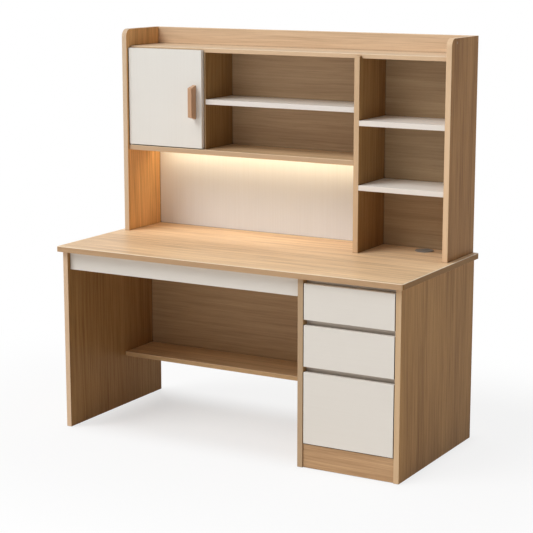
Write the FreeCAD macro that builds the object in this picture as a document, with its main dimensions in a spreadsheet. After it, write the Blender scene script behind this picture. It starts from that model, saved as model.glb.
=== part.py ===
import FreeCAD, Part
import os

import Sketcher

# Student desk with a hutch, in millimetres.
#
# Frame: +Z is up, the front of the desk faces -Y, and the origin lies on the floor under the
# middle of the desktop. The desk is a panel leg on the left, a three-drawer pedestal on the
# right and a desktop over both. The hutch stands on the rear of the desktop: a cupboard with a
# door, an open bay with a shelf, a lit display space below them and a shelf tower on the right.

SIZES = {
    # desk, overall
    "desk_width": 1500,
    "desk_depth": 690,
    "desk_height": 740,
    "top_thickness": 22,
    "top_corner_radius": 8,
    "top_edge_round": 3,
    "panel_thickness": 22,
    "board_thickness": 18,
    "back_thickness": 9,
    "groove_depth": 6,
    "groove_play": 0.3,
    "arris": 1.2,
    "cut_overrun": 1,
    "side_overhang": 15,
    "front_overhang": 22,
    "rear_overhang": 10,
    "glide_height": 2,
    "glide_radius": 9,
    "glide_inset": 60,
    # knee space
    "apron_height": 74,
    "apron_setback": 18,
    "modesty_setback": 47,
    "foot_shelf_height": 228,
    "foot_shelf_depth": 205,
    # pedestal
    "pedestal_width": 415,
    "plinth_height": 93,
    "plinth_setback": 5,
    "cable_void": 96,
    "front_thickness": 18,
    "upper_front_height": 135,
    "middle_front_height": 155,
    "finger_gap": 21,
    "top_finger_gap": 19,
    "front_base_gap": 3,
    "front_side_gap": 3,
    # finger rails between the drawer fronts
    "grip_recess": 30,
    "grip_wall": 1.6,
    "grip_pocket": 22,
    "grip_lip": 10,
    "grip_clearance": 2,
    "grip_corner": 5,
    # drawer boxes and their slides
    "box_side": 12,
    "box_depth": 470,
    "box_rise": 12,
    "box_drop": 26,
    "box_base": 6,
    "box_base_rise": 10,
    "box_groove": 5,
    "slide_width": 12.7,
    "slide_height": 45,
    "slide_length": 450,
    "slide_wall": 1.2,
    "slide_play": 0.4,
    "slide_flange": 8.8,
    "slide_setback": 4,
    "slide_rise": 14,
    # grommet
    "grommet_from_right": 200,
    "grommet_from_rear": 65,
    "grommet_radius": 30,
    "grommet_wall": 2.5,
    "grommet_flange": 6,
    "grommet_rim": 3,
    "grommet_height": 2.5,
    "grommet_depth": 26,
    "grommet_play": 0.3,
    "cap_thickness": 1.4,
    "cap_skirt": 7,
    "cap_skirt_wall": 1.25,
    "cap_notch_width": 22,
    "cap_notch_depth": 16,
    # hutch
    "hutch_inset": 24,
    "hutch_depth": 250,
    "hutch_height": 828,
    "hutch_corner_radius": 30,
    "shelf_thickness": 20,
    "roof_thickness": 17,
    "gallery_height": 68,
    "gallery_thickness": 12,
    "display_height": 337,
    "cupboard_width": 336,
    "tower_width": 356,
    "centre_shelf_height": 180,
    "tower_shelf_low": 243,
    "tower_shelf_high": 490,
    "back_inset": 3,
    "door_setback": 10,
    # door
    "door_back_gap": 2,
    "door_side_gap": 3,
    "door_floor_gap": 3.5,
    "door_top_overlay": 9,
    "door_divider_overlay": 15,
    "pivot_inset": 5,
    "pivot_radius": 1.5,
    "pivot_play": 0.05,
    "pivot_length": 9,
    "leaf_thickness": 2,
    "leaf_neck": 5,
    "leaf_width": 24,
    "leaf_length": 34,
    "leaf_play": 0.4,
    "leaf_clearance": 1,
    "handle_length": 136,
    "handle_bevel": 10,
    "handle_width": 19,
    "handle_depth": 37,
    "handle_front_band": 15,
    "handle_slope": 8,
    "handle_waist": 2.5,
    "handle_round": 2,
    "handle_from_edge": 33,
    "handle_height": 185,
    "catch_width": 46,
    "catch_depth": 16,
    "catch_height": 14,
    "catch_ear": 9,
    "catch_ear_height": 3,
    "catch_from_divider": 14,
    "strike_thickness": 1.5,
    # light bar under the cupboard floor
    "light_width": 17,
    "light_height": 8,
    "light_wall": 1.2,
    "light_from_back": 45,
    "light_end_gap": 12,
    "light_board": 1,
    "diffuser_thickness": 1.2,
}

# Coordinates that differ by less than this count as equal.
NEAR = 1e-3

doc = FreeCAD.newDocument("StudentDesk")
sheet = doc.addObject("Spreadsheet::Sheet", "Sizes")
for row, (alias, value) in enumerate(SIZES.items(), start=1):
    sheet.set(f"A{row}", alias)
    sheet.set(f"B{row}", str(value))
    sheet.setAlias(f"B{row}", alias)
doc.recompute()


class Size:
    """A length that carries both its sheet formula and its number."""

    def __init__(self, formula, number):
        self.formula = formula
        self.number = number

    def __add__(self, other):
        other = as_size(other)
        return Size(f"({self.formula} + {other.formula})", self.number + other.number)

    def __sub__(self, other):
        other = as_size(other)
        return Size(f"({self.formula} - {other.formula})", self.number - other.number)

    def __mul__(self, factor):
        return Size(f"({self.formula} * {factor})", self.number * factor)

    def __truediv__(self, divisor):
        return Size(f"({self.formula} / {divisor})", self.number / divisor)

    def __neg__(self):
        return Size(f"(0 - {self.formula})", -self.number)

    __rmul__ = __mul__
    __radd__ = __add__


def as_size(value):
    """Give a plain number the same form as a size of the sheet."""
    return value if isinstance(value, Size) else Size(str(value), value)


def cell(alias):
    """The size that the sheet keeps under this alias."""
    return Size(f"Sizes.{alias}", sheet.get(alias))


def bind(target, name, value):
    """Tie one property of an object to a size."""
    target.setExpression(name, as_size(value).formula)


def place(target, corner):
    """Tie the place of an object to three sizes."""
    for axis, value in zip("xyz", corner):
        bind(target, f"Placement.Base.{axis}", value)


# ---------------------------------------------------------------- shared building steps

def new_body(name):
    body = doc.addObject("PartDesign::Body", name)
    body.Label = name
    return body


def new_sketch(body, name, role):
    """A sketch on the origin plane of its own body with this role."""
    planes = [item for item in body.Origin.OriginFeatures if item.Role == role]
    sketch = body.newObject("Sketcher::SketchObject", name)
    sketch.AttachmentSupport = [(planes[0], "")]
    sketch.MapMode = "FlatFace"
    return sketch


def hold_point(sketch, line, end, across, up):
    """Fix one end of a line at two sizes from the sketch's origin."""
    for kind, value, axis_line in (("DistanceX", across, -2), ("DistanceY", up, -1)):
        value = as_size(value)
        if abs(value.number) < NEAR:
            sketch.addConstraint(Sketcher.Constraint("PointOnObject", line, end, axis_line))
            continue
        index = sketch.addConstraint(Sketcher.Constraint(kind, -1, 1, line, end, value.number))
        sketch.setExpression(f"Constraints[{index}]", value.formula)


def draw_outline(sketch, points):
    """A closed outline of straight lines through points given as pairs of sizes."""
    corners = [FreeCAD.Vector(as_size(u).number, as_size(v).number, 0) for u, v in points]
    lines = []
    for index, corner in enumerate(corners):
        following = corners[(index + 1) % len(corners)]
        lines.append(sketch.addGeometry(Part.LineSegment(corner, following), False))
    for index, line in enumerate(lines):
        following = lines[(index + 1) % len(lines)]
        sketch.addConstraint(Sketcher.Constraint("Coincident", line, 2, following, 1))
        hold_point(sketch, line, 1, *points[index])


def rectangle(width, height):
    return [(0, 0), (width, 0), (width, height), (0, height)]


def draw_circle(sketch, across, up, radius):
    """A circle whose centre and radius are sizes."""
    centre = FreeCAD.Vector(as_size(across).number, as_size(up).number, 0)
    circle = sketch.addGeometry(Part.Circle(centre, FreeCAD.Vector(0, 0, 1), radius.number))
    hold_point(sketch, circle, 3, across, up)
    index = sketch.addConstraint(Sketcher.Constraint("Radius", circle, radius.number))
    sketch.setExpression(f"Constraints[{index}]", radius.formula)


def add_pad(body, name, role, points, length):
    """Pad an outline from an origin plane towards the positive axis."""
    sketch = new_sketch(body, name + "_sketch", role)
    draw_outline(sketch, points)
    pad = body.newObject("PartDesign::Pad", name)
    pad.Profile = sketch
    bind(pad, "Length", length)
    pad.Reversed = role == "XZ_Plane"
    doc.recompute()
    return pad


def cut_box(body, name, corner, size):
    """Take a box out of a body, placed in the body's own frame."""
    box = body.newObject("PartDesign::SubtractiveBox", name)
    for property_name, value in zip(("Length", "Width", "Height"), size):
        bind(box, property_name, value)
    place(box, corner)
    doc.recompute()
    return box


def cut_cylinder(body, name, centre, radius, height):
    """Take an upright cylinder out of a body, placed in the body's own frame."""
    cylinder = body.newObject("PartDesign::SubtractiveCylinder", name)
    bind(cylinder, "Radius", radius)
    bind(cylinder, "Height", height)
    place(cylinder, centre)
    doc.recompute()
    return cylinder


def side_of(box, side):
    """The coordinate of one face of a bounding box, named like -y or +z."""
    word = side[1].upper() + ("Min" if side[0] == "-" else "Max")
    return getattr(box, word)


def edges_along(shape, axis, sides):
    """Names of the straight edges along an axis that lie on the named sides of the shape."""
    names = []
    for index, edge in enumerate(shape.Edges, start=1):
        reach = edge.BoundBox
        spans = {"x": reach.XLength, "y": reach.YLength, "z": reach.ZLength}
        if any(length > NEAR for other, length in spans.items() if other != axis):
            continue
        middle = edge.CenterOfMass
        if all(abs(getattr(middle, side[1]) - side_of(shape.BoundBox, side)) < NEAR for side in sides):
            names.append(f"Edge{index}")
    return names


def edges_on(shape, side, leave_out=()):
    """Names of the edges lying in one side of the shape, but not in the sides left out."""
    names = []
    for index, edge in enumerate(shape.Edges, start=1):
        ends = (side_of(edge.BoundBox, "-" + side[1]), side_of(edge.BoundBox, "+" + side[1]))
        level = side_of(shape.BoundBox, side)
        if any(abs(end - level) > NEAR for end in ends):
            continue
        middle = edge.CenterOfMass
        outside = [abs(getattr(middle, other[1]) - side_of(shape.BoundBox, other)) < NEAR
                   for other in leave_out]
        if not any(outside):
            names.append(f"Edge{index}")
    return names


def round_edges(body, name, edges, radius):
    """Round the named edges of the body's last feature."""
    fillet = body.newObject("PartDesign::Fillet", name)
    fillet.Base = (body.Group[-2], edges)
    bind(fillet, "Radius", radius)
    doc.recompute()
    return fillet


def board(name, corner, size, rounded=()):
    """A flat board: its lowest corner, its three sizes and the edges whose arris is eased.

    rounded holds one text for each group of edges, such as "x -y" for the edges along X at
    the front.
    """
    body = new_body(name)
    pad = add_pad(body, name + "_pad", "XY_Plane", rectangle(size[0], size[1]), size[2])
    edges = []
    for words in rounded:
        axis, *sides = words.split()
        edges += edges_along(pad.Shape, axis, sides)
    if edges:
        round_edges(body, name + "_arris", edges, ARRIS)
    place(body, corner)
    return body


def compound(name, members):
    """Separate solids kept together as one sub-part."""
    group = doc.addObject("Part::Compound", name)
    group.Label = name
    group.Links = members
    return group


parts = []

# ---------------------------------------------------------------- places shared by the pieces

ARRIS = cell("arris")
PANEL = cell("panel_thickness")
BOARD = cell("board_thickness")
SHELF = cell("shelf_thickness")
ROOF = cell("roof_thickness")
BACK = cell("back_thickness")
FRONT = cell("front_thickness")
GROOVE = cell("groove_depth")
GROOVE_PLAY = cell("groove_play")
GLIDE = cell("glide_height")
OVERRUN = cell("cut_overrun")

desk_left = -cell("desk_width") / 2
desk_right = cell("desk_width") / 2
desk_front = -cell("desk_depth") / 2
desk_rear = cell("desk_depth") / 2
top_level = cell("desk_height")
top_underside = top_level - cell("top_thickness")

carcass_front = desk_front + cell("front_overhang")
carcass_rear = desk_rear - cell("rear_overhang")
carcass_depth = carcass_rear - carcass_front
panel_height = top_underside - GLIDE

leg_left = desk_left + cell("side_overhang")
leg_inner = leg_left + PANEL
pedestal_right = desk_right - cell("side_overhang")
pedestal_left = pedestal_right - cell("pedestal_width")
pedestal_inner_left = pedestal_left + PANEL
pedestal_inner_right = pedestal_right - PANEL
pedestal_inner_width = pedestal_inner_right - pedestal_inner_left
knee_width = pedestal_left - leg_inner
pedestal_back_front = carcass_rear - cell("cable_void") - BACK
plinth_top = cell("plinth_height")

# ---------------------------------------------------------------- desk carcass

def make_desktop():
    """Desktop with rounded corners, eased edges and the hole for the grommet."""
    body = new_body("desktop")
    width = cell("desk_width")
    depth = cell("desk_depth")
    pad = add_pad(body, "desktop_pad", "XY_Plane", rectangle(width, depth), cell("top_thickness"))
    corners = edges_along(pad.Shape, "z", [])
    fillet = round_edges(body, "desktop_corners", corners, cell("top_corner_radius"))
    top_edges = edges_on(fillet.Shape, "+z")
    fillet = round_edges(body, "desktop_top_edge", top_edges, cell("top_edge_round"))
    round_edges(body, "desktop_lower_edge", edges_on(fillet.Shape, "-z"), ARRIS)
    hole = new_sketch(body, "grommet_hole_sketch", "XY_Plane")
    across = width - cell("grommet_from_right")
    up = depth - cell("grommet_from_rear")
    draw_circle(hole, across, up, cell("grommet_radius") + cell("grommet_play"))
    pocket = body.newObject("PartDesign::Pocket", "grommet_hole")
    pocket.Profile = hole
    pocket.Reversed = True
    pocket.Type = "ThroughAll"
    doc.recompute()
    place(body, (desk_left, desk_front, top_underside))
    return body


def make_panel(name, left, grooves):
    """An upright desk panel; grooves lists the faces that take the pedestal's back."""
    body = board(name, (left, carcass_front, GLIDE), (PANEL, carcass_depth, panel_height),
                 ("z -y", "z +y"))
    groove_front = pedestal_back_front - carcass_front - GROOVE_PLAY / 2
    for face in grooves:
        start = as_size(0) if face == "left" else PANEL - GROOVE
        cut_box(body, name + "_groove", (start, groove_front, plinth_top - BOARD - GLIDE),
                (GROOVE, BACK + GROOVE_PLAY, panel_height))
    return body


parts.append(make_desktop())
parts.append(make_panel("left_leg_panel", leg_left, ()))
parts.append(make_panel("pedestal_left_panel", pedestal_left, ("right",)))
parts.append(make_panel("pedestal_right_panel", pedestal_inner_right, ("left",)))

plinth_front = carcass_front + cell("plinth_setback")
floor_front = plinth_front + BOARD
parts.append(board(
    "plinth", (pedestal_inner_left, plinth_front, GLIDE),
    (pedestal_inner_width, BOARD, plinth_top - GLIDE), ("x -y +z", "x -y -z")))
parts.append(board(
    "pedestal_floor", (pedestal_inner_left, floor_front, plinth_top - BOARD),
    (pedestal_inner_width, pedestal_back_front - floor_front, BOARD)))
parts.append(board(
    "pedestal_back", (pedestal_inner_left - GROOVE + GROOVE_PLAY, pedestal_back_front, plinth_top - BOARD),
    (pedestal_inner_width + 2 * GROOVE - 2 * GROOVE_PLAY, BACK, top_underside - plinth_top + BOARD)))

modesty_rear = carcass_rear - cell("modesty_setback")
modesty_front = modesty_rear - BOARD
foot_shelf_base = cell("foot_shelf_height") - BOARD

parts.append(board(
    "apron", (leg_inner, carcass_front + cell("apron_setback"), top_underside - cell("apron_height")),
    (knee_width, BOARD, cell("apron_height")), ("x -y -z", "x +y -z")))
parts.append(board(
    "modesty_panel", (leg_inner, modesty_front, foot_shelf_base),
    (knee_width, BOARD, top_underside - foot_shelf_base), ("x -y -z", "x +y -z")))
parts.append(board(
    "foot_shelf", (leg_inner, modesty_front - cell("foot_shelf_depth"), foot_shelf_base),
    (knee_width, cell("foot_shelf_depth"), BOARD), ("x -y",)))


def make_glides():
    """Plastic glides nailed under the three upright panels, front and rear."""
    glides = []
    for panel, left in (("leg", leg_left), ("pedestal_left", pedestal_left),
                        ("pedestal_right", pedestal_inner_right)):
        for end, middle in (("front", carcass_front + cell("glide_inset")),
                            ("rear", carcass_rear - cell("glide_inset"))):
            glide = doc.addObject("Part::Cylinder", f"glide_{panel}_{end}")
            bind(glide, "Radius", cell("glide_radius"))
            bind(glide, "Height", GLIDE)
            place(glide, (left + PANEL / 2, middle, as_size(0)))
            glides.append(glide)
    return compound("floor_glides", glides)


parts.append(make_glides())

# ---------------------------------------------------------------- drawer fronts and finger rails

FINGER = cell("finger_gap")
upper_front_top = top_underside - cell("top_finger_gap")
upper_front_base = upper_front_top - cell("upper_front_height")
middle_front_top = upper_front_base - FINGER
middle_front_base = middle_front_top - cell("middle_front_height")
lower_front_top = middle_front_base - FINGER
lower_front_base = plinth_top + cell("front_base_gap")

front_left = pedestal_inner_left + cell("front_side_gap")
front_width = pedestal_inner_width - 2 * cell("front_side_gap")
box_front = carcass_front + FRONT
rail_front = box_front + cell("grip_clearance")


def make_finger_rail(name, base, top):
    """Channel rail behind the gap over a drawer front, open towards the front."""
    body = new_body(name)
    wall = cell("grip_wall")
    height = top - base
    depth = carcass_front + cell("grip_recess") + wall - rail_front
    channel = [(0, 0), (depth, 0), (depth, height), (0, height), (0, height - wall),
               (depth - wall, height - wall), (depth - wall, wall), (0, wall)]
    pad = add_pad(body, name + "_pad", "YZ_Plane", channel, pedestal_inner_width)
    outer = edges_along(pad.Shape, "x", ["+y"])
    bend = round_edges(body, name + "_outer_bend", outer, cell("grip_corner"))
    inner_depth = (depth - wall).number
    web_height = (height - 2 * wall).number
    inner = [f"Edge{index}" for index, edge in enumerate(bend.Shape.Edges, start=1)
             if edge.BoundBox.XLength > wall.number
             and abs(edge.CenterOfMass.y - inner_depth) < NEAR
             and abs(abs(edge.CenterOfMass.z - height.number / 2) - web_height / 2) < NEAR]
    round_edges(body, name + "_inner_bend", inner, cell("grip_corner") - wall)
    place(body, (pedestal_inner_left, rail_front, base))
    return body


POCKET = cell("grip_pocket")
LIP = cell("grip_lip")
parts.append(make_finger_rail("upper_finger_rail", upper_front_top - POCKET, top_underside))
parts.append(make_finger_rail("middle_finger_rail", middle_front_top - POCKET, upper_front_base + LIP))
parts.append(make_finger_rail("lower_finger_rail", lower_front_top - POCKET, middle_front_base + LIP))

# ---------------------------------------------------------------- drawers and telescopic slides

SLIDE = cell("slide_width")
SLIDE_WALL = cell("slide_wall")
SLIDE_PLAY = cell("slide_play")
slide_step = SLIDE_WALL + SLIDE_PLAY


def slide_profile(member):
    """Outline of one slide member, from the panel's face at 0 towards the drawer.

    The outer and middle members open towards the drawer, and the inner member, which is
    screwed to the drawer, opens towards the panel. They nest with the same play all round.
    """
    nesting = {"outer": 0, "middle": 1, "inner": 2}[member]
    low = nesting * slide_step
    high = cell("slide_height") - low
    if member == "inner":
        web, tip = SLIDE, 2 * slide_step
        web_inside = web - SLIDE_WALL
    else:
        web, tip = low, low + cell("slide_flange")
        web_inside = web + SLIDE_WALL
    return [(web, low), (tip, low), (tip, low + SLIDE_WALL), (web_inside, low + SLIDE_WALL),
            (web_inside, high - SLIDE_WALL), (tip, high - SLIDE_WALL), (tip, high), (web, high)]


def make_slide_member(drawer, member, hand, base):
    """One member of a slide; the right-hand one is the left-hand one mirrored."""
    name = f"{drawer}_{member}_member_{hand}"
    body = new_body(name)
    profile = slide_profile(member)
    start = pedestal_inner_left
    if hand == "right":
        profile = [(SLIDE - across, up) for across, up in profile]
        start = pedestal_inner_right - SLIDE
    add_pad(body, name + "_pad", "XZ_Plane", profile, cell("slide_length"))
    place(body, (start, box_front + cell("slide_setback"), base))
    return body


def make_box_side(name, left, base, height, groove_left):
    """Side board of a drawer box with the groove for the drawer's base."""
    body = board(name, (left, box_front, base), (cell("box_side"), cell("box_depth"), height))
    cut_box(body, name + "_groove", (groove_left, as_size(0), cell("box_base_rise")),
            (cell("box_groove"), cell("box_depth"), cell("box_base") + GROOVE_PLAY))
    return body


def make_drawer(drawer, front_base, front_top):
    """One drawer: front, box and its pair of inner and middle slide members."""
    base = front_base + cell("box_rise")
    top = front_top - cell("box_drop")
    height = top - base
    side = cell("box_side")
    box_left = pedestal_inner_left + SLIDE
    box_right = pedestal_inner_right - SLIDE
    depth = cell("box_depth")
    base_level = base + cell("box_base_rise")
    inner_width = box_right - box_left - 2 * side

    parts.append(board(
        drawer + "_front", (front_left, carcass_front, front_base),
        (front_width, FRONT, front_top - front_base), ("x -y", "z -y", "x +y +z")))
    sides = [
        make_box_side(drawer + "_side_left", box_left, base, height, side - cell("box_groove")),
        make_box_side(drawer + "_side_right", box_right - side, base, height, as_size(0))]
    parts.append(compound(drawer + "_sides", sides))
    parts.append(board(
        drawer + "_back", (box_left + side, box_front + depth - side, base_level + cell("box_base")),
        (inner_width, side, top - base_level - cell("box_base"))))
    parts.append(board(
        drawer + "_base",
        (box_left + side - cell("box_groove") + GROOVE_PLAY, box_front, base_level),
        (inner_width + 2 * cell("box_groove") - 2 * GROOVE_PLAY, depth, cell("box_base"))))

    slide_base = base + cell("slide_rise")
    for member in ("inner", "middle"):
        pair = [make_slide_member(drawer, member, hand, slide_base) for hand in ("left", "right")]
        parts.append(compound(f"{drawer}_slide_{member}", pair))
    return [make_slide_member(drawer, "outer", hand, slide_base) for hand in ("left", "right")]


outer_members = make_drawer("upper_drawer", upper_front_base, upper_front_top)
outer_members += make_drawer("middle_drawer", middle_front_base, middle_front_top)
outer_members += make_drawer("lower_drawer", lower_front_base, lower_front_top)
parts.append(compound("slide_outer_members", outer_members))

# ---------------------------------------------------------------- cable grommet

def turned_body(name, outline, place_at):
    """A body turned about its own Z axis from an outline in the XZ plane."""
    body = new_body(name)
    sketch = new_sketch(body, name + "_sketch", "XZ_Plane")
    draw_outline(sketch, outline)
    turn = body.newObject("PartDesign::Revolution", name + "_turn")
    turn.Profile = sketch
    turn.ReferenceAxis = (sketch, ["V_Axis"])
    turn.Angle = 360
    doc.recompute()
    place(body, place_at)
    return body


grommet_x = desk_right - cell("grommet_from_right")
grommet_y = desk_rear - cell("grommet_from_rear")
tube_outer = cell("grommet_radius")
tube_inner = tube_outer - cell("grommet_wall")
flange_outer = tube_outer + cell("grommet_flange")
rim_inner = flange_outer - cell("grommet_rim")
seat_height = cell("grommet_height") - cell("cap_thickness")
tube_length = cell("grommet_depth")


def make_grommet_liner():
    """Liner: a tube through the desktop, a flange on top and a rim round the cap."""
    outline = [
        (tube_inner, 0), (tube_outer, 0), (tube_outer, tube_length), (flange_outer, tube_length),
        (flange_outer, tube_length + cell("grommet_height")),
        (rim_inner, tube_length + cell("grommet_height")),
        (rim_inner, tube_length + seat_height), (tube_inner, tube_length + seat_height)]
    return turned_body("grommet_liner", outline, (grommet_x, grommet_y, top_level - tube_length))


def make_grommet_cap():
    """Cap: a disc with a skirt inside the tube and a notch for the cables at the rear."""
    play = cell("grommet_play")
    skirt_outer = tube_inner - play
    skirt_inner = skirt_outer - cell("cap_skirt_wall")
    skirt = cell("cap_skirt")
    disc_top = skirt + cell("cap_thickness")
    disc_radius = rim_inner - play
    outline = [(skirt_inner, 0), (skirt_outer, 0), (skirt_outer, skirt), (disc_radius, skirt),
               (disc_radius, disc_top), (0, disc_top), (0, skirt), (skirt_inner, skirt)]
    body = turned_body("grommet_cap", outline, (grommet_x, grommet_y, top_level + seat_height - skirt))
    notch = cell("cap_notch_width")
    cut_box(body, "cap_notch", (-notch / 2, disc_radius - cell("cap_notch_depth"), -OVERRUN),
            (notch, cell("cap_notch_depth") + OVERRUN, disc_top + 2 * OVERRUN))
    return body


parts.append(make_grommet_liner())
parts.append(make_grommet_cap())

# ---------------------------------------------------------------- hutch carcass

hutch_left = desk_left + cell("hutch_inset")
hutch_right = desk_right - cell("hutch_inset")
hutch_front = desk_rear - cell("hutch_depth")
hutch_inner_left = hutch_left + PANEL
hutch_inner_right = hutch_right - PANEL
back_rear = desk_rear - cell("back_inset")
back_front = back_rear - BACK

door_front = hutch_front + cell("door_setback")
door_rear = door_front + FRONT
shelf_front = door_rear + cell("door_back_gap")
shelf_depth = back_front - shelf_front
tower_depth = back_front - door_front

hutch_top_level = top_level + cell("hutch_height")
roof_top = hutch_top_level - cell("gallery_height")
roof_base = roof_top - ROOF
cabin_base = top_level + cell("display_height")
cabin_floor = cabin_base + SHELF

divider_left = hutch_inner_left + cell("cupboard_width")
divider_right = divider_left + PANEL
tower_inner_left = hutch_inner_right - cell("tower_width")
tower_left = tower_inner_left - PANEL
door_top = roof_base + cell("door_top_overlay")


def groove_for_back(body, name, start, base, height):
    """Groove that takes the edge of a back panel, in the frame of a hutch panel."""
    front = back_front - hutch_front - GROOVE_PLAY / 2
    cut_box(body, name, (start, front, base), (GROOVE, BACK + GROOVE_PLAY, height))


def make_hutch_side(name, left, groove_start):
    """Hutch side with its rounded front top corner and the groove for the backs."""
    body = new_body(name)
    outline = rectangle(cell("hutch_depth"), cell("hutch_height"))
    pad = add_pad(body, name + "_pad", "YZ_Plane", outline, PANEL)
    corner = edges_along(pad.Shape, "x", ["-y", "+z"])
    fillet = round_edges(body, name + "_corner", corner, cell("hutch_corner_radius"))
    edges = edges_on(fillet.Shape, "-x", ("-z",)) + edges_on(fillet.Shape, "+x", ("-z",))
    round_edges(body, name + "_arris", edges, ARRIS)
    groove_for_back(body, name + "_groove", groove_start, as_size(0), roof_base + GROOVE - top_level)
    place(body, (left, hutch_front, top_level))
    return body


parts.append(make_hutch_side("hutch_left_side", hutch_left, PANEL - GROOVE))
parts.append(make_hutch_side("hutch_right_side", hutch_inner_right, as_size(0)))


def make_hutch_roof():
    """Top board of the hutch, grooved underneath for the back panels."""
    width = hutch_inner_right - hutch_inner_left
    body = board("hutch_roof", (hutch_inner_left, shelf_front, roof_base),
                 (width, desk_rear - shelf_front, ROOF), ("x -y",))
    cut_box(body, "hutch_roof_groove",
            (as_size(0), back_front - shelf_front - GROOVE_PLAY / 2, as_size(0)),
            (width, BACK + GROOVE_PLAY, GROOVE))
    return body


parts.append(make_hutch_roof())
parts.append(board(
    "gallery_rail", (hutch_inner_left, desk_rear - cell("gallery_thickness"), roof_top),
    (hutch_inner_right - hutch_inner_left, cell("gallery_thickness"), cell("gallery_height")),
    ("x +z",)))
parts.append(board(
    "cupboard_floor", (hutch_inner_left, door_front, cabin_base),
    (tower_left - hutch_inner_left, tower_depth, SHELF), ("x -y",)))
parts.append(board(
    "cupboard_divider", (divider_left, shelf_front, cabin_floor),
    (PANEL, shelf_depth, roof_base - cabin_floor), ("z -y",)))


def make_tower_divider():
    """Panel beside the tower: grooved on both faces, its front edge covers the roof's lower edge."""
    depth = desk_rear - door_front
    height = door_top - top_level
    body = board("tower_divider", (tower_left, door_front, top_level),
                 (PANEL, depth, height), ("z -y", "z +y", "x -y +z"))
    cut_box(body, "tower_divider_roof_seat",
            (-OVERRUN, shelf_front - door_front, roof_base - top_level),
            (PANEL + 2 * OVERRUN, depth, ROOF))
    for face, start in (("left", as_size(0)), ("right", PANEL - GROOVE)):
        cut_box(body, f"tower_divider_groove_{face}",
                (start, tower_depth - GROOVE_PLAY / 2, as_size(0)),
                (GROOVE, BACK + GROOVE_PLAY, height))
    return body


parts.append(make_tower_divider())
parts.append(board(
    "centre_shelf", (divider_right, shelf_front, cabin_floor + cell("centre_shelf_height")),
    (tower_left - divider_right, shelf_depth, SHELF), ("x -y",)))
for name, height in (("tower_shelf_lower", "tower_shelf_low"), ("tower_shelf_upper", "tower_shelf_high")):
    parts.append(board(
        name, (tower_inner_left, door_front, top_level + cell(height)),
        (cell("tower_width"), tower_depth, SHELF), ("x -y",)))

back_joint = cabin_base + SHELF / 2
back_reach = GROOVE - GROOVE_PLAY
main_back_left = hutch_inner_left - back_reach
main_back_width = tower_left + back_reach - main_back_left
parts.append(board(
    "upper_back_panel", (main_back_left, back_front, back_joint),
    (main_back_width, BACK, roof_base + back_reach - back_joint)))
parts.append(board(
    "lower_back_panel", (main_back_left, back_front, top_level),
    (main_back_width, BACK, back_joint - top_level)))
parts.append(board(
    "tower_back_panel", (tower_inner_left - back_reach, back_front, top_level),
    (cell("tower_width") + 2 * back_reach, BACK, roof_base + back_reach - top_level)))

# ---------------------------------------------------------------- cupboard door

door_left = hutch_inner_left + cell("door_side_gap")
door_right = divider_left + cell("door_divider_overlay")
door_width = door_right - door_left
door_base = cabin_floor + cell("door_floor_gap")
door_height = door_top - door_base
PIVOT = cell("pivot_inset")
PIN = cell("pivot_radius")
PIN_HOLE = PIN + cell("pivot_play")
LEAF = cell("leaf_thickness")
pin_x = door_left + PIVOT
pin_y = door_front + PIVOT
leaf_slot_base = roof_base - LEAF - cell("leaf_play")


def make_door():
    """Door panel, bored for both pivot pins and slotted for the upper hinge leaf."""
    body = board("door_panel", (door_left, door_front, door_base),
                 (door_width, FRONT, door_height), ("x -y", "z -y", "z +y +x"))
    neck_room = cell("leaf_neck") / 2 + cell("leaf_play")
    slot_front = PIVOT - neck_room - cell("leaf_clearance")
    cut_box(body, "leaf_slot", (-OVERRUN, slot_front, leaf_slot_base - door_base),
            (PIVOT + neck_room + OVERRUN, FRONT, LEAF + 2 * cell("leaf_play")))
    length = cell("pivot_length") + cell("leaf_clearance")
    cut_cylinder(body, "lower_pin_hole", (PIVOT, PIVOT, -OVERRUN), PIN_HOLE, length + OVERRUN)
    cut_cylinder(body, "upper_pin_hole", (PIVOT, PIVOT, leaf_slot_base - door_base - length),
                 PIN_HOLE, length + OVERRUN)
    return body


def make_hinge_leaf(name, base, pin_up):
    """Pivot leaf: a screwed plate behind the door with a neck that carries the pin."""
    body = new_body(name)
    neck = cell("leaf_neck")
    nose = neck / 2
    clearance = cell("leaf_clearance")
    plate_left = clearance - PIVOT - cell("door_side_gap") / 2
    plate_right = plate_left + cell("leaf_width")
    shoulder = FRONT - PIVOT + cell("door_back_gap") + clearance
    rear = shoulder + cell("leaf_length")
    outline = [(-nose, 0), (nose, 0), (nose, shoulder), (plate_right, shoulder),
               (plate_right, rear), (plate_left, rear), (plate_left, shoulder), (-nose, shoulder)]
    shift = PIVOT + cell("door_side_gap")
    outline = [(across + shift, along) for across, along in outline]
    add_pad(body, name + "_pad", "XY_Plane", outline, LEAF)
    eye = body.newObject("PartDesign::AdditiveCylinder", name + "_eye")
    bind(eye, "Radius", nose)
    bind(eye, "Height", LEAF)
    place(eye, (shift, as_size(0), as_size(0)))
    pin = body.newObject("PartDesign::AdditiveCylinder", name + "_pin")
    bind(pin, "Radius", PIN)
    bind(pin, "Height", cell("pivot_length") + LEAF)
    place(pin, (shift, as_size(0), as_size(0) if pin_up else -cell("pivot_length")))
    doc.recompute()
    place(body, (pin_x - shift, pin_y, base))
    return body


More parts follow.
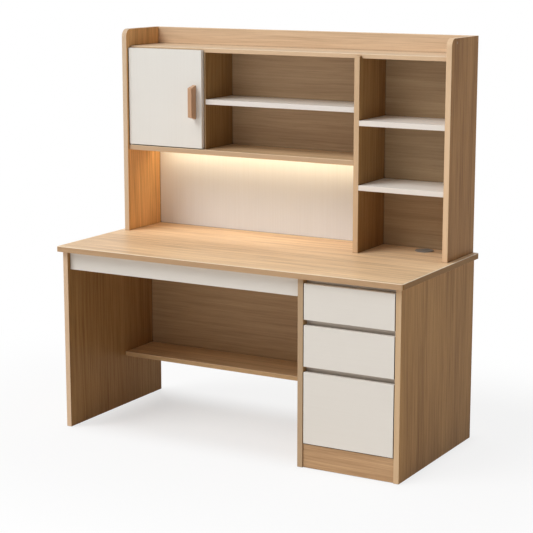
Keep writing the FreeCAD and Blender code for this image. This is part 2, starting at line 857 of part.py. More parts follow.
def make_handle():
    """Wooden pull: waisted in plan for the fingers, with its two ends bevelled."""
    body = new_body("door_handle")
    width = cell("handle_width")
    depth = cell("handle_depth")
    length = cell("handle_length")
    waist = cell("handle_waist")
    band = cell("handle_front_band")
    neck = band + cell("handle_slope")
    outline = [(0, 0), (width, 0), (width, band), (width - waist, neck), (width - waist, depth),
               (waist, depth), (waist, neck), (0, band)]
    add_pad(body, "handle_pad", "XY_Plane", outline, length)
    bevel = cell("handle_bevel")
    wedges = new_sketch(body, "handle_bevel_sketch", "YZ_Plane")
    draw_outline(wedges, [(0, 0), (depth, 0), (0, bevel)])
    draw_outline(wedges, [(0, length), (0, length - bevel), (depth, length)])
    pocket = body.newObject("PartDesign::Pocket", "handle_bevels")
    pocket.Profile = wedges
    pocket.Reversed = True
    pocket.Type = "ThroughAll"
    doc.recompute()
    round_edges(body, "handle_front_round", edges_on(pocket.Shape, "-y"), cell("handle_round"))
    place(body, (door_right - cell("handle_from_edge") - width / 2, door_front - depth,
                 door_base + cell("handle_height") - length / 2))
    return body


parts.append(make_door())
leaves = [make_hinge_leaf("lower_leaf", cabin_floor, True),
          make_hinge_leaf("upper_leaf", roof_base - LEAF, False)]
parts.append(compound("hinge_leaves", leaves))
parts.append(make_handle())

catch_left = divider_left - cell("catch_from_divider") - cell("catch_width")
catch_base = roof_base - cell("catch_height")
catch_ear = cell("catch_ear")


def make_catch():
    """Magnet catch under the roof: a housing with an ear for a screw on either side."""
    body = new_body("magnet_catch")
    width = cell("catch_width")
    height = cell("catch_height")
    ear_base = height - cell("catch_ear_height")
    outline = [(catch_ear, 0), (width - catch_ear, 0), (width - catch_ear, ear_base),
               (width, ear_base), (width, height), (0, height), (0, ear_base),
               (catch_ear, ear_base)]
    pad = add_pad(body, "magnet_catch_pad", "XZ_Plane", outline, cell("catch_depth"))
    round_edges(body, "magnet_catch_arris", edges_along(pad.Shape, "y", ["-z"]), ARRIS)
    place(body, (catch_left, shelf_front, catch_base))
    return body


parts.append(make_catch())
parts.append(board(
    "catch_strike", (catch_left + catch_ear, door_rear, catch_base),
    (cell("catch_width") - 2 * catch_ear, cell("strike_thickness"), cell("catch_height"))))

# ---------------------------------------------------------------- light bar

light_left = hutch_inner_left + cell("light_end_gap")
light_length = tower_left - cell("light_end_gap") - light_left
light_rear = back_front - cell("light_from_back")
light_front = light_rear - cell("light_width")
light_base = cabin_base - cell("light_height")


def make_light_channel():
    """Channel screwed under the cupboard floor, open downwards."""
    body = new_body("light_channel")
    wall = cell("light_wall")
    width = cell("light_width")
    height = cell("light_height")
    channel = [(0, 0), (wall, 0), (wall, height - wall), (width - wall, height - wall),
               (width - wall, 0), (width, 0), (width, height), (0, height)]
    add_pad(body, "light_channel_pad", "YZ_Plane", channel, light_length)
    place(body, (light_left, light_front, light_base))
    return body


parts.append(make_light_channel())
light_inner = cell("light_width") - 2 * cell("light_wall")
parts.append(board(
    "light_diffuser", (light_left, light_front + cell("light_wall"), light_base),
    (light_length, light_inner, cell("diffuser_thickness"))))
light_board_base = cabin_base - cell("light_wall") - cell("light_board")
parts.append(board(
    "light_strip", (light_left, light_front + cell("light_wall"), light_board_base),
    (light_length, light_inner, cell("light_board"))))

# ---------------------------------------------------------------- check and write

doc.recompute()
for item in doc.Objects:
    if "Invalid" in item.State or "Error" in item.State:
        raise RuntimeError(f"{item.Label} failed: {item.State}")

os.makedirs("parts", exist_ok=True)
for part in parts:
    if part.Shape.isNull() or not part.Shape.isValid():
        raise RuntimeError(f"{part.Label} has no valid shape")
    part.Shape.exportStep(os.path.join("parts", part.Label + ".step"))
print(len(parts), "sub-parts written")
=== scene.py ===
"""Looks of a student desk with a hutch: its finishes, small fittings, lighting and camera.

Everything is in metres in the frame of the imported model: +Z is up, the user sits towards -Y, and
the origin lies on the floor under the middle of the desktop.
"""

import logging
import math
from dataclasses import dataclass
from enum import Enum
from typing import Any, ClassVar, Optional, Sequence, Union

import bmesh
import bpy
from mathutils import Matrix, Vector


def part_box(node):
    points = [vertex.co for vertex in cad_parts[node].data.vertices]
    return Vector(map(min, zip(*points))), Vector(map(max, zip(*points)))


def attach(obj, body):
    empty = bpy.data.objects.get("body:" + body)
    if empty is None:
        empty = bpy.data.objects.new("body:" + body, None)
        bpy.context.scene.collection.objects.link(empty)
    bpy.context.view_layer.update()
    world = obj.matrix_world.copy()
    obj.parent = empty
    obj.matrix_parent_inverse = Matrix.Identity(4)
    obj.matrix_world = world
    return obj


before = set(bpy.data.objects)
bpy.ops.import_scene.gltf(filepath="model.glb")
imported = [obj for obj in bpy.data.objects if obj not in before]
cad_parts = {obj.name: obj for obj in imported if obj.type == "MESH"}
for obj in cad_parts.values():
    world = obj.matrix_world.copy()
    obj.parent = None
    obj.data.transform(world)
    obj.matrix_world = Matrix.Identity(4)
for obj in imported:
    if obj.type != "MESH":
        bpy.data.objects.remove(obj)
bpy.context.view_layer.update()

log = logging.getLogger("desk")

Colour = tuple[float, float, float]
Pieces = list[bpy.types.Object]
MM = 0.001

PURE_WHITE: Colour = (1.0, 1.0, 1.0)
# Painted shade in gaps and corners: how far a neighbour counts, how many rays look for it, the
# openness between which the shade is painted, how dark it gets, and its colour.
GAP_REACH = 9 * MM
GAP_RAYS = 8
GAP_RANGE = (0.08, 0.84)
GAP_SHADE_SHARE = 0.92
GAP_SHADE_COLOUR: Colour = (0.035, 0.022, 0.012)
# Wood: level and warmth of dark and of light grain, levels of the lines on a board's ends, how
# much pores show, and how strong the painted highlight on softened upper edges is.
DARK_GRAIN = (0.60, 0.10)
LIGHT_GRAIN = (1.32, -0.06)
TIP_LEVELS = (0.85, 1.15)
PORE_SHARE = 0.20
PAINTED_HIGHLIGHT_SHARE = 0.90
# Other finishes: level of the darker places in metal, and in plastic and the diffuser's light.
WORN_LEVEL = 0.86
DEEP_LEVEL = 0.85


class Axis(Enum):
    """A direction of the frame, by its index in a vector."""

    X = 0
    Y = 1
    Z = 2


# ------------------------------------------------------------------------------- shader maths


class Graph:
    """The node tree of one material or world, filled by plain calls."""

    def __init__(self, tree: bpy.types.NodeTree) -> None:
        """Start an empty tree.

        Args:
            tree: the tree to fill; what it holds is removed.
        """
        self.tree = tree
        tree.nodes.clear()

    def node(
        self,
        kind: str,
        settings: Optional[dict[str, Any]] = None,
        sockets: Optional[dict[Union[str, int], Any]] = None,
    ) -> bpy.types.Node:
        """Add one node.

        Args:
            kind: the node's type, such as ShaderNodeMath.
            settings: the node's own settings, set before its sockets; stops holds a ramp's
                positions and colours.
            sockets: a value or a link for each input, by name or index.

        Returns:
            The new node.
        """
        made = self.tree.nodes.new(kind)
        for name, value in (settings or {}).items():
            if name == "stops":
                self._set_stops(made.color_ramp, value)
            else:
                setattr(made, name, value)
        for name, value in (sockets or {}).items():
            self._feed(made.inputs[name], value)
        return made

    def _set_stops(self, ramp: bpy.types.ColorRamp, stops: Sequence[tuple[float, Colour]]) -> None:
        """Give a ramp its stops.

        Args:
            ramp: the ramp to change.
            stops: position and colour of each stop, in order.
        """
        while len(ramp.elements) < len(stops):
            ramp.elements.new(1.0)
        for element, (position, colour) in zip(ramp.elements, stops):
            element.position = position
            element.color = (*colour, 1.0)

    def _feed(self, socket: bpy.types.NodeSocket, value: Any) -> None:
        """Link a socket or set its own value.

        Args:
            socket: the input to feed.
            value: a Signal, another node's output, a colour or a plain value.
        """
        source = value.socket if isinstance(value, Signal) else value
        if isinstance(source, bpy.types.NodeSocket):
            self.tree.links.new(source, socket)
        elif socket.type == "RGBA" and len(source) == 3:
            socket.default_value = (*source, 1.0)
        else:
            socket.default_value = source

    def blend(self, factor: "Number", first: Any, second: Any) -> bpy.types.NodeSocket:
        """Mix two colours.

        Args:
            factor: 0 gives the first colour and 1 the second.
            first: a colour or a colour output.
            second: a colour or a colour output.

        Returns:
            The mixed colour's output.
        """
        mix = self.node("ShaderNodeMix", {"data_type": "RGBA"}, {0: factor, 6: first, 7: second})
        return mix.outputs[2]

    def vector(self, x: "Number", y: "Number", z: "Number") -> bpy.types.NodeSocket:
        """Join three numbers to a vector output."""
        return self.node("ShaderNodeCombineXYZ", sockets={0: x, 1: y, 2: z}).outputs[0]

    def noise(
        self, point: bpy.types.NodeSocket, detail: float = 2.0, rough: float = 0.5,
    ) -> "Signal":
        """Smooth noise from 0 to 1 at a point that is scaled already.

        Args:
            point: where to read the noise.
            detail: how many finer layers are added.
            rough: how strong the finer layers are.

        Returns:
            The noise value.
        """
        made = self.node(
            "ShaderNodeTexNoise", {"normalize": True},
            {"Vector": point, "Scale": 1.0, "Detail": detail, "Roughness": rough})
        return Signal(self, made.outputs[0])

    def _split(self, output: str) -> tuple["Signal", "Signal", "Signal"]:
        """Split one output of the Texture Coordinate node.

        Args:
            output: the output's name.

        Returns:
            Its three numbers.
        """
        vector = self.node("ShaderNodeTexCoord").outputs[output]
        split = self.node("ShaderNodeSeparateXYZ", sockets={0: vector})
        x, y, z = (Signal(self, part) for part in split.outputs)
        return x, y, z

    def place(self) -> tuple["Signal", "Signal", "Signal"]:
        """The surface point in the object's own frame, as three numbers in metres."""
        return self._split("Object")

    def facing(self) -> tuple["Signal", "Signal", "Signal"]:
        """The surface's direction in the object's own frame, as three numbers."""
        return self._split("Normal")

    def openness(self, reach: float, rays: int) -> "Signal":
        """How open the surroundings of the surface are.

        Args:
            reach: how far another surface counts, in metres.
            rays: how many rays look for it.

        Returns:
            1 in the open, less in a corner and near 0 in a narrow gap.
        """
        made = self.node("ShaderNodeAmbientOcclusion", {"samples": rays}, {"Distance": reach})
        return Signal(self, made.outputs["AO"])


class Signal:
    """A number that changes over a surface: an output whose operators add Math nodes."""

    def __init__(self, graph: Graph, socket: bpy.types.NodeSocket) -> None:
        """Wrap an output of the graph's tree."""
        self.graph = graph
        self.socket = socket

    def _math(self, operation: str, *operands: "Number") -> "Signal":
        """Add a Math node.

        Args:
            operation: the Math node's operation.
            operands: its inputs in order.

        Returns:
            The node's result.
        """
        sockets = dict(enumerate(operands))
        made = self.graph.node("ShaderNodeMath", {"operation": operation}, sockets)
        return Signal(self.graph, made.outputs[0])

    def __add__(self, other: "Number") -> "Signal":
        """Sum."""
        return self._math("ADD", self, other)

    def __radd__(self, other: "Number") -> "Signal":
        """Sum with a plain number in front."""
        return self._math("ADD", other, self)

    def __sub__(self, other: "Number") -> "Signal":
        """Difference."""
        return self._math("SUBTRACT", self, other)

    def __rsub__(self, other: "Number") -> "Signal":
        """Difference from a plain number in front."""
        return self._math("SUBTRACT", other, self)

    def __mul__(self, other: "Number") -> "Signal":
        """Product."""
        return self._math("MULTIPLY", self, other)

    def __rmul__(self, other: "Number") -> "Signal":
        """Product with a plain number in front."""
        return self._math("MULTIPLY", other, self)

    def __pow__(self, other: "Number") -> "Signal":
        """Power."""
        return self._math("POWER", self, other)

    def __rpow__(self, other: "Number") -> "Signal":
        """Power of a plain number in front."""
        return self._math("POWER", other, self)

    def __abs__(self) -> "Signal":
        """Size without its sign."""
        return self._math("ABSOLUTE", self)

    def sine(self) -> "Signal":
        """Sine of an angle in radians."""
        return self._math("SINE", self)

    def centred(self) -> "Signal":
        """How far a value from 0 to 1 lies above or below the middle."""
        return self - 0.5

    def most(self, other: "Number") -> "Signal":
        """The larger of two numbers."""
        return self._math("MAXIMUM", self, other)

    def step(self, low: float, high: float) -> "Signal":
        """Rise smoothly from 0 at low to 1 at high.

        Args:
            low: where the rise starts.
            high: where the rise ends.

        Returns:
            The step, from 0 to 1.
        """
        made = self.graph.node(
            "ShaderNodeMapRange", {"interpolation_type": "SMOOTHSTEP"},
            {"Value": self, "From Min": low, "From Max": high})
        return Signal(self.graph, made.outputs[0])


Number = Union[float, Signal]
Sockets = dict[str, Any]


def new_material(name: str) -> tuple[bpy.types.Material, Graph]:
    """Make an empty material with nodes.

    Args:
        name: the material's name.

    Returns:
        The material and the graph that fills it.
    """
    material = bpy.data.materials.new(name)
    material.use_nodes = True
    return material, Graph(material.node_tree)


def shaded(colour: Colour, level: float, warmth: float = 0.0) -> Colour:
    """Make a colour lighter or darker.

    Args:
        colour: the colour to change.
        level: factor on all three values.
        warmth: share that green loses, and twice that share for blue.

    Returns:
        The changed colour.
    """
    red, green, blue = (value * level for value in colour)
    return red, green * (1 - warmth), blue * (1 - 2 * warmth)


def paint_gap_shade(graph: Graph, colour: Any) -> bpy.types.NodeSocket:
    """Paint shade into a colour in narrow gaps and, less so, in corners.

    Args:
        graph: the material's graph.
        colour: the surface's colour.

    Returns:
        The colour with painted shade in its gaps and corners.
    """
    # Painted shade: near-black is blended in where neighbouring surfaces close in.
    gap_shade = 1 - graph.openness(GAP_REACH, GAP_RAYS).step(*GAP_RANGE)
    return graph.blend(gap_shade * GAP_SHADE_SHARE, colour, GAP_SHADE_COLOUR)


def finish_surface(graph: Graph, sockets: Sockets) -> None:
    """End a material with one Principled shader.

    Args:
        graph: the material's graph.
        sockets: what feeds the shader's inputs.
    """
    shader = graph.node("ShaderNodeBsdfPrincipled", sockets=sockets)
    graph.node("ShaderNodeOutputMaterial", sockets={"Surface": shader.outputs[0]})


def bump(graph: Graph, height: Number, distance: float, strength: float) -> bpy.types.NodeSocket:
    """Turn a height from 0 to 1 into a surface normal.

    Args:
        graph: the material's graph.
        height: the relief.
        distance: the relief's depth in metres.
        strength: how much of it shows.

    Returns:
        The normal.
    """
    made = graph.node(
        "ShaderNodeBump", sockets={"Strength": strength, "Distance": distance, "Height": height})
    return made.outputs[0]


@dataclass(frozen=True)
class Pattern:
    """A noise pattern of one finish.

    Attributes:
        scales: how fine it is along each of three coordinates, in steps per metre.
        detail: how many finer layers are added.
        rough: how strong the finer layers are.
        weight: how far it moves a colour.
    """

    scales: tuple[float, float, float]
    detail: float = 2.0
    rough: float = 0.5
    weight: float = 1.0

    def over(self, graph: Graph, *coordinates: Signal) -> Signal:
        """Read the pattern.

        Args:
            graph: the material's graph.
            coordinates: the three coordinates, in metres.

        Returns:
            The pattern's value, from 0 to 1.
        """
        scaled = [coordinate * scale for coordinate, scale in zip(coordinates, self.scales)]
        return graph.noise(graph.vector(*scaled), self.detail, self.rough)

    def swing(self, value: Signal) -> Signal:
        """Turn a value of the pattern into a weighted swing about 0."""
        return value.centred() * self.weight


# ------------------------------------------------------------------------------- board finishes


@dataclass(frozen=True)
class Board:
    """A flat board of the model, as its finish sees it.

    Attributes:
        node: the model's node.
        grain: the axis that the grain runs along.
        seed: shifts the pattern, so that no two boards match.
        thickness: the axis through the board, for a node of several boards.
    """

    node: str
    grain: Axis
    seed: float
    thickness: Optional[Axis] = None

    def corners(self) -> tuple[Vector, Vector]:
        """Lowest and highest corner of the board."""
        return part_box(self.node)

    def axes(self) -> tuple[int, int, int]:
        """Tell the board's own directions.

        Returns:
            Indices of the axes along the grain, across it in the face, and through the board.
        """
        low, high = self.corners()
        spans = high - low
        others = [axis for axis in range(3) if axis != self.grain.value]
        thinnest = min(others, key=lambda axis: spans[axis])
        through = self.thickness.value if self.thickness else thinnest
        across = next(axis for axis in others if axis != through)
        return self.grain.value, across, through


class GrainSpace:
    """Coordinates that follow a board's grain, also on its banded ends.

    Attributes:
        highlight_depth: how far the painted highlight on a softened edge reaches down.
        highlight_fade: share of its width that the painted highlight keeps in full.
        far_range: directions between which a face counts as turned right, back or up, the face that
            some finishes give its own painted tone of light and shade.
        side_range: the same for an edge or an end.
        seed_shifts: how far a board's seed shifts its coordinates.
    """

    highlight_depth: float = 2.0 * MM
    highlight_fade: float = 0.8
    far_range: tuple[float, float] = (0.4, 0.6)
    side_range: tuple[float, float] = (0.66, 0.76)
    seed_shifts: tuple[float, float, float] = (3.1, 0.7, 0.37)

    def __init__(self, graph: Graph, board: Board) -> None:
        """Work out the coordinates and the edge masks.

        Args:
            graph: the material's graph.
            board: the board to follow.
        """
        place = graph.place()
        along, across, through = board.axes()
        low, high = board.corners()
        middle = (low + high) / 2
        half = (high - low) / 2
        centred = [place[axis] - middle[axis] for axis in range(3)]
        shifts = [board.seed * shift for shift in self.seed_shifts]
        self.centred = centred
        self.half = half
        facing = graph.facing()
        # Face turned right, back or up, which some finishes paint with their own tone of light and
        # shade.
        self.far = facing[through].step(*self.far_range)
        self.end = abs(facing[along]).step(*self.side_range)
        self.edge = 1 - abs(facing[through]).step(*self.side_range)
        swapped = 1 - self.end
        self.along = centred[along] * swapped + centred[across] * self.end + shifts[0]
        self.across = centred[across] * swapped + centred[through] * self.end + shifts[1]
        self.through = centred[through] + shifts[2]

    def rim(self, axes: Sequence[Axis], width: float) -> Signal:
        """Mask of the painted highlight along the softened upper edges.

        Args:
            axes: directions in which these edges bound the board.
            width: how far they reach over the upper face.

        Returns:
            1 where the highlight is painted, 0 elsewhere.
        """
        top = self.half.z
        above = self.centred[Axis.Z.value].step(top - self.highlight_depth, top - self.highlight_depth / 2)
        outward = [abs(self.centred[axis.value]) - self.half[axis.value] for axis in axes]
        furthest = outward[0] if len(outward) == 1 else outward[0].most(outward[1])
        return above * furthest.step(-width, -width * self.highlight_fade)


# Patches, streaks and lines are scaled across the board by the streaks' width. A streak is this
# share of a step wide.
STREAK_SHARE = 0.4
OAK_DRIFT = Pattern((1.1, 4.0, 4.0))
OAK_PATCHES = Pattern((1.6, 0.3, 9.0), detail=1.0, weight=0.5)
OAK_STREAKS = Pattern((0.9, 1.0, 26.0), detail=4.0, rough=0.62, weight=1.0)
OAK_LINES = Pattern((2.2, 5.0, 90.0), detail=3.0, rough=0.6, weight=1.3)
OAK_FIBRE = Pattern((9.0, 420.0, 420.0), weight=0.8)
OAK_PORES = Pattern((55.0, 900.0, 900.0), detail=1.0)
WHITE_CLOUD = Pattern((2.0, 6.0, 6.0), weight=0.4)
WHITE_LINES = Pattern((3.0, 160.0, 160.0), detail=3.0, weight=0.6)
PULL_LINES = Pattern((240.0, 240.0, 9.0), detail=3.0, rough=0.6)
PULL_PORES = Pattern((1300.0, 1300.0, 60.0), detail=1.0)


class Laminate:
    """What both laminates share: a finish that follows the grain of its board.

    Attributes:
        prefix: start of its materials' names, which a board's node ends.
    """

    prefix: ClassVar[str]

    def sockets(self, graph: Graph, space: GrainSpace) -> Sockets:
        """Tell what feeds the shader; each laminate has its own."""
        raise NotImplementedError

    def material(self, board: Board) -> bpy.types.Material:
        """Make the finish of one board.

        Args:
            board: the board that takes it.

        Returns:
            Its material.
        """
        material, graph = new_material(self.prefix + board.node)
        finish_surface(graph, self.sockets(graph, GrainSpace(graph, board)))
        return material


@dataclass(frozen=True)
class OakLaminate(Laminate):
    """Light oak wood-grain laminate: soft streaks, fine fibres and short pores.

    Attributes:
        prefix: start of its materials' names.
        middle: mean colour of the face.
        far: the same for the face that turns right, back or up, where it takes its own painted
            tone: the light bar's glow painted inside the hutch's left side, painted shade inside
            the leg.
        edge: colour of the band on the long edges.
        tip: colour of the band on the two ends, where it differs; the desktop's darker ends are
            painted shade.
        rim: colour of the painted highlight, a light line along the softened upper edges.
        highlight_axes: directions in which such edges bound the board.
        highlight_width: how far the painted highlight reaches over the upper face, in metres.
        roughness: mean roughness.
        gloss: specular level.
        contrast: how far the streaks leave the mean colour.
        width: mean width of the streaks in metres.
        bend: how far the streaks wander sideways.
        band_grain: how much of the face's colour the lines bring into the edge bands.
        pore_range: values of the pore pattern between which a pore starts.
        rough_streaks: how much smoother a light streak is.
        rough_pores: how much rougher a pore is.
        relief: depth of the texture in metres, and how much of it shows.
        pore_relief: depth of a pore, as a share of the fibres'.
    """

    prefix: ClassVar[str] = "oak_"
    middle: Colour = (0.50, 0.325, 0.175)
    far: Optional[Colour] = None
    edge: Colour = (0.590, 0.406, 0.247)
    tip: Optional[Colour] = None
    rim: Optional[Colour] = None
    highlight_axes: tuple[Axis, ...] = (Axis.Y,)
    highlight_width: float = 3 * MM
    roughness: float = 0.44
    gloss: float = 0.20
    contrast: float = 1.0
    width: float = 18 * MM
    bend: float = 50 * MM
    band_grain: float = 0.35
    pore_range: tuple[float, float] = (0.62, 0.72)
    rough_streaks: float = 0.10
    rough_pores: float = 0.12
    relief: tuple[float, float] = (0.05 * MM, 0.6)
    pore_relief: float = 0.6

    def _face(
        self, graph: Graph, mean: Colour, swing: Signal, pores: Signal,
    ) -> bpy.types.NodeSocket:
        """Colour one face.

        Args:
            graph: the material's graph.
            mean: mean colour of the face.
            swing: how far the grain leaves that colour.
            pores: 1 in a pore, 0 elsewhere.

        Returns:
            The face's colour.
        """
        dark = shaded(mean, *DARK_GRAIN)
        light = shaded(mean, *LIGHT_GRAIN)
        ramp = graph.node(
            "ShaderNodeValToRGB", {"stops": ((0.0, dark), (0.5, mean), (1.0, light))},
            {0: swing * self.contrast + 0.5})
        return graph.blend(pores * PORE_SHARE, ramp.outputs[0], dark)

    def _band(self, graph: Graph, end: Signal, lines: Signal) -> bpy.types.NodeSocket:
        """Colour the edge bands.

        Args:
            graph: the material's graph.
            end: 1 on the board's two ends, 0 elsewhere.
            lines: the pattern of the fine lines.

        Returns:
            The bands' colour.
        """
        band = graph.blend(lines * self.band_grain, self.edge, self.middle)
        if self.tip is None:
            return band
        # The ends take their own band colour; the desktop's darker ends are painted shade.
        dark, light = (shaded(self.tip, level) for level in TIP_LEVELS)
        return graph.blend(end, band, graph.blend(lines, dark, light))

    def sockets(self, graph: Graph, space: GrainSpace) -> Sockets:
        """Tell what feeds the shader.

        Args:
            graph: the material's graph.
            space: the board's own coordinates.

        Returns:
            Value or link of each input.
        """
        plain = space.along, space.across, space.through
        bent = space.across + OAK_DRIFT.over(graph, *plain).centred() * self.bend
        in_streaks = space.along, bent * (STREAK_SHARE / self.width), space.through
        patches = OAK_PATCHES.over(graph, *in_streaks)
        streaks = OAK_STREAKS.over(graph, *in_streaks)
        lines = OAK_LINES.over(graph, *in_streaks)
        fibre = OAK_FIBRE.over(graph, *plain)
        pores = OAK_PORES.over(graph, *plain).step(*self.pore_range)
        swing = (OAK_PATCHES.swing(patches) + OAK_STREAKS.swing(streaks)
                 + OAK_LINES.swing(lines) + OAK_FIBRE.swing(fibre))
        face = self._face(graph, self.middle, swing, pores)
        # The face turned right, back or up takes its own tone of painted light and shade: glow
        # inside the hutch's left side, shade inside the leg.
        if self.far is not None:
            face = graph.blend(space.far, face, self._face(graph, self.far, swing, pores))
        colour = graph.blend(space.edge, face, self._band(graph, space.end, lines))
        # Painted highlight: a light line along the softened upper edges.
        if self.rim is not None:
            rim = space.rim(self.highlight_axes, self.highlight_width)
            colour = graph.blend(rim * PAINTED_HIGHLIGHT_SHARE, colour, self.rim)
        # The base colour carries painted shade in gaps and corners.
        return {
            "Base Color": paint_gap_shade(graph, colour),
            "Roughness": (self.roughness - streaks.centred() * self.rough_streaks
                          + pores * self.rough_pores),
            "Specular IOR Level": self.gloss,
            "Normal": bump(graph, fibre - pores * self.pore_relief, *self.relief),
        }


@dataclass(frozen=True)
class WhiteLaminate(Laminate):
    """Off-white laminate with a barely visible grain.

    Attributes:
        prefix: start of its materials' names.
        colour: colour of the face.
        shade: colour of the grain's darker lines.
        far: colour of the face that turns right, back or up, where the two faces are painted apart
            for how light falls; the lower back panel's front face is tinted cooler against the
            light bar's glow.
        edge: colour of the edge band.
        roughness: mean roughness.
        gloss: specular level.
        grain: how strongly the grain's darker lines show.
        grain_from: tone from which the grain's darker lines start.
        edge_share: how much of the edge band's own colour it takes.
        rough_lines: how far the grain's lines move the roughness.
        relief: depth of the texture in metres, and how much of it shows.
    """

    prefix: ClassVar[str] = "white_"
    colour: Colour = (0.84, 0.812, 0.758)
    shade: Colour = (0.765, 0.725, 0.66)
    far: Optional[Colour] = None
    edge: Colour = (0.86, 0.82, 0.77)
    roughness: float = 0.40
    gloss: float = 0.20
    grain: float = 0.6
    grain_from: float = 0.35
    edge_share: float = 0.8
    rough_lines: float = 0.08
    relief: tuple[float, float] = (0.03 * MM, 0.5)

    def sockets(self, graph: Graph, space: GrainSpace) -> Sockets:
        """Tell what feeds the shader.

        Args:
            graph: the material's graph.
            space: the board's own coordinates.

        Returns:
            Value or link of each input.
        """
        plain = space.along, space.across, space.through
        cloud = WHITE_CLOUD.over(graph, *plain)
        lines = WHITE_LINES.over(graph, *plain)
        tone = lines * WHITE_LINES.weight + cloud * WHITE_CLOUD.weight
        # Faces turned right, back or up can take a tone of their own, painted for how light falls.
        colour = graph.blend(space.far, self.colour, self.far) if self.far else self.colour
        face = graph.blend((tone - self.grain_from).most(0.0) * self.grain, colour, self.shade)
        banded = graph.blend(space.edge * self.edge_share, face, self.edge)
        # The base colour carries painted shade in gaps and corners.
        return {
            "Base Color": paint_gap_shade(graph, banded),
            "Roughness": self.roughness + lines.centred() * self.rough_lines,
            "Specular IOR Level": self.gloss,
            "Normal": bump(graph, lines, *self.relief),
        }


# ------------------------------------------------------------------------------- other finishes


class Finish:
    """What the other finishes share: a material for pieces of any shape."""

    def sockets(self, graph: Graph) -> Sockets:
        """Tell what feeds the shader; each finish has its own."""
        raise NotImplementedError

    def material(self, name: str) -> bpy.types.Material:
        """Make the finish.

        Args:
            name: the material's name.

        Returns:
            The material.
        """
        material, graph = new_material(name)
        finish_surface(graph, self.sockets(graph))
        return material


@dataclass(frozen=True)
class SolidOak(Finish):
    """Shaped solid oak with a clear finish; its grain runs upwards.

    Attributes:
        light: colour of the early wood.
        dark: colour of the late wood and the pores.
        contrast: how strongly early and late wood differ.
        late_share: how far the lines are shifted towards late wood.
        roughness: mean roughness.
        pore_range: values of the pore pattern between which a pore starts.
        pore_share: how dark a pore is.
        rough_pores: how much rougher it is.
        relief: depth of the texture in metres, and how much of it shows.
    """

    light: Colour = (0.66, 0.40, 0.235)
    dark: Colour = (0.46, 0.25, 0.13)
    contrast: float = 1.4
    late_share: float = 0.2
    roughness: float = 0.40
    pore_range: tuple[float, float] = (0.6, 0.7)
    pore_share: float = 0.3
    rough_pores: float = 0.15
    relief: tuple[float, float] = (0.08 * MM, 0.7)

    def sockets(self, graph: Graph) -> Sockets:
        """Tell what feeds the shader.

        Args:
            graph: the material's graph.

        Returns:
            Value or link of each input.
        """
        place = graph.place()
        lines = PULL_LINES.over(graph, *place)
        pores = PULL_PORES.over(graph, *place).step(*self.pore_range)
        colour = graph.blend(lines * self.contrast - self.late_share, self.dark, self.light)
        return {
            "Base Color": graph.blend(pores * self.pore_share, colour, self.dark),
            "Roughness": self.roughness + pores * self.rough_pores,
            "Normal": bump(graph, lines - pores, *self.relief),
        }


@dataclass(frozen=True)
class Metal(Finish):
    """Drawn, rolled or anodised metal.

    Attributes:
        colour: colour of the surface.
        roughness: mean roughness.
        metallic: 1 for bare metal, less for a paint-like layer.
        drawn: axis of the drawing lines.
        lines: how strongly the lines show.
        along: how fine the lines are along that axis, in steps per metre.
        across: the same across it.
        rough_lines: how far they move the roughness.
        depth: depth of the lines in metres.
    """

    colour: Colour
    roughness: float = 0.35
    metallic: float = 1.0
    drawn: Axis = Axis.X
    lines: float = 0.5
    along: float = 6.0
    across: float = 900.0
    rough_lines: float = 0.22
    depth: float = 0.02 * MM

    def sockets(self, graph: Graph) -> Sockets:
        """Tell what feeds the shader.

        Args:
            graph: the material's graph.

        Returns:
            Value or link of each input.
        """
        scales = tuple(self.along if axis is self.drawn else self.across for axis in Axis)
        lines = Pattern(scales).over(graph, *graph.place())
        worn = shaded(self.colour, WORN_LEVEL)
        return {
            "Base Color": graph.blend(lines * self.lines, self.colour, worn),
            "Metallic": self.metallic,
            "Roughness": self.roughness + lines.centred() * self.rough_lines * self.lines,
            "Normal": bump(graph, lines, self.depth, self.lines),
        }


@dataclass(frozen=True)
class MouldedPlastic(Finish):
    """Moulded plastic with a fine spark-eroded texture.

    Attributes:
        colour: colour of the surface.
        roughness: mean roughness.
        texture: how strongly the texture shows.
        grit: how fine it is, in steps per metre.
        cloud: the same for the faint clouds of its colour.
        cloud_share: how much these show.
        rough_grit: how far the texture moves the roughness.
        depth: depth of the texture in metres.
    """

    colour: Colour
    roughness: float = 0.5
    texture: float = 0.4
    grit: float = 1600.0
    cloud: float = 40.0
    cloud_share: float = 0.5
    rough_grit: float = 0.2
    depth: float = 0.04 * MM

    def sockets(self, graph: Graph) -> Sockets:
        """Tell what feeds the shader.

        Args:
            graph: the material's graph.

        Returns:
            Value or link of each input.
        """
        place = graph.place()
        grit = Pattern((self.grit,) * 3).over(graph, *place)
        cloud = Pattern((self.cloud,) * 3).over(graph, *place)
        deep = shaded(self.colour, DEEP_LEVEL)
        return {
            "Base Color": graph.blend(cloud * self.cloud_share, self.colour, deep),
            "Roughness": self.roughness + grit.centred() * self.rough_grit,
            "Normal": bump(graph, grit, self.depth, self.texture),
        }


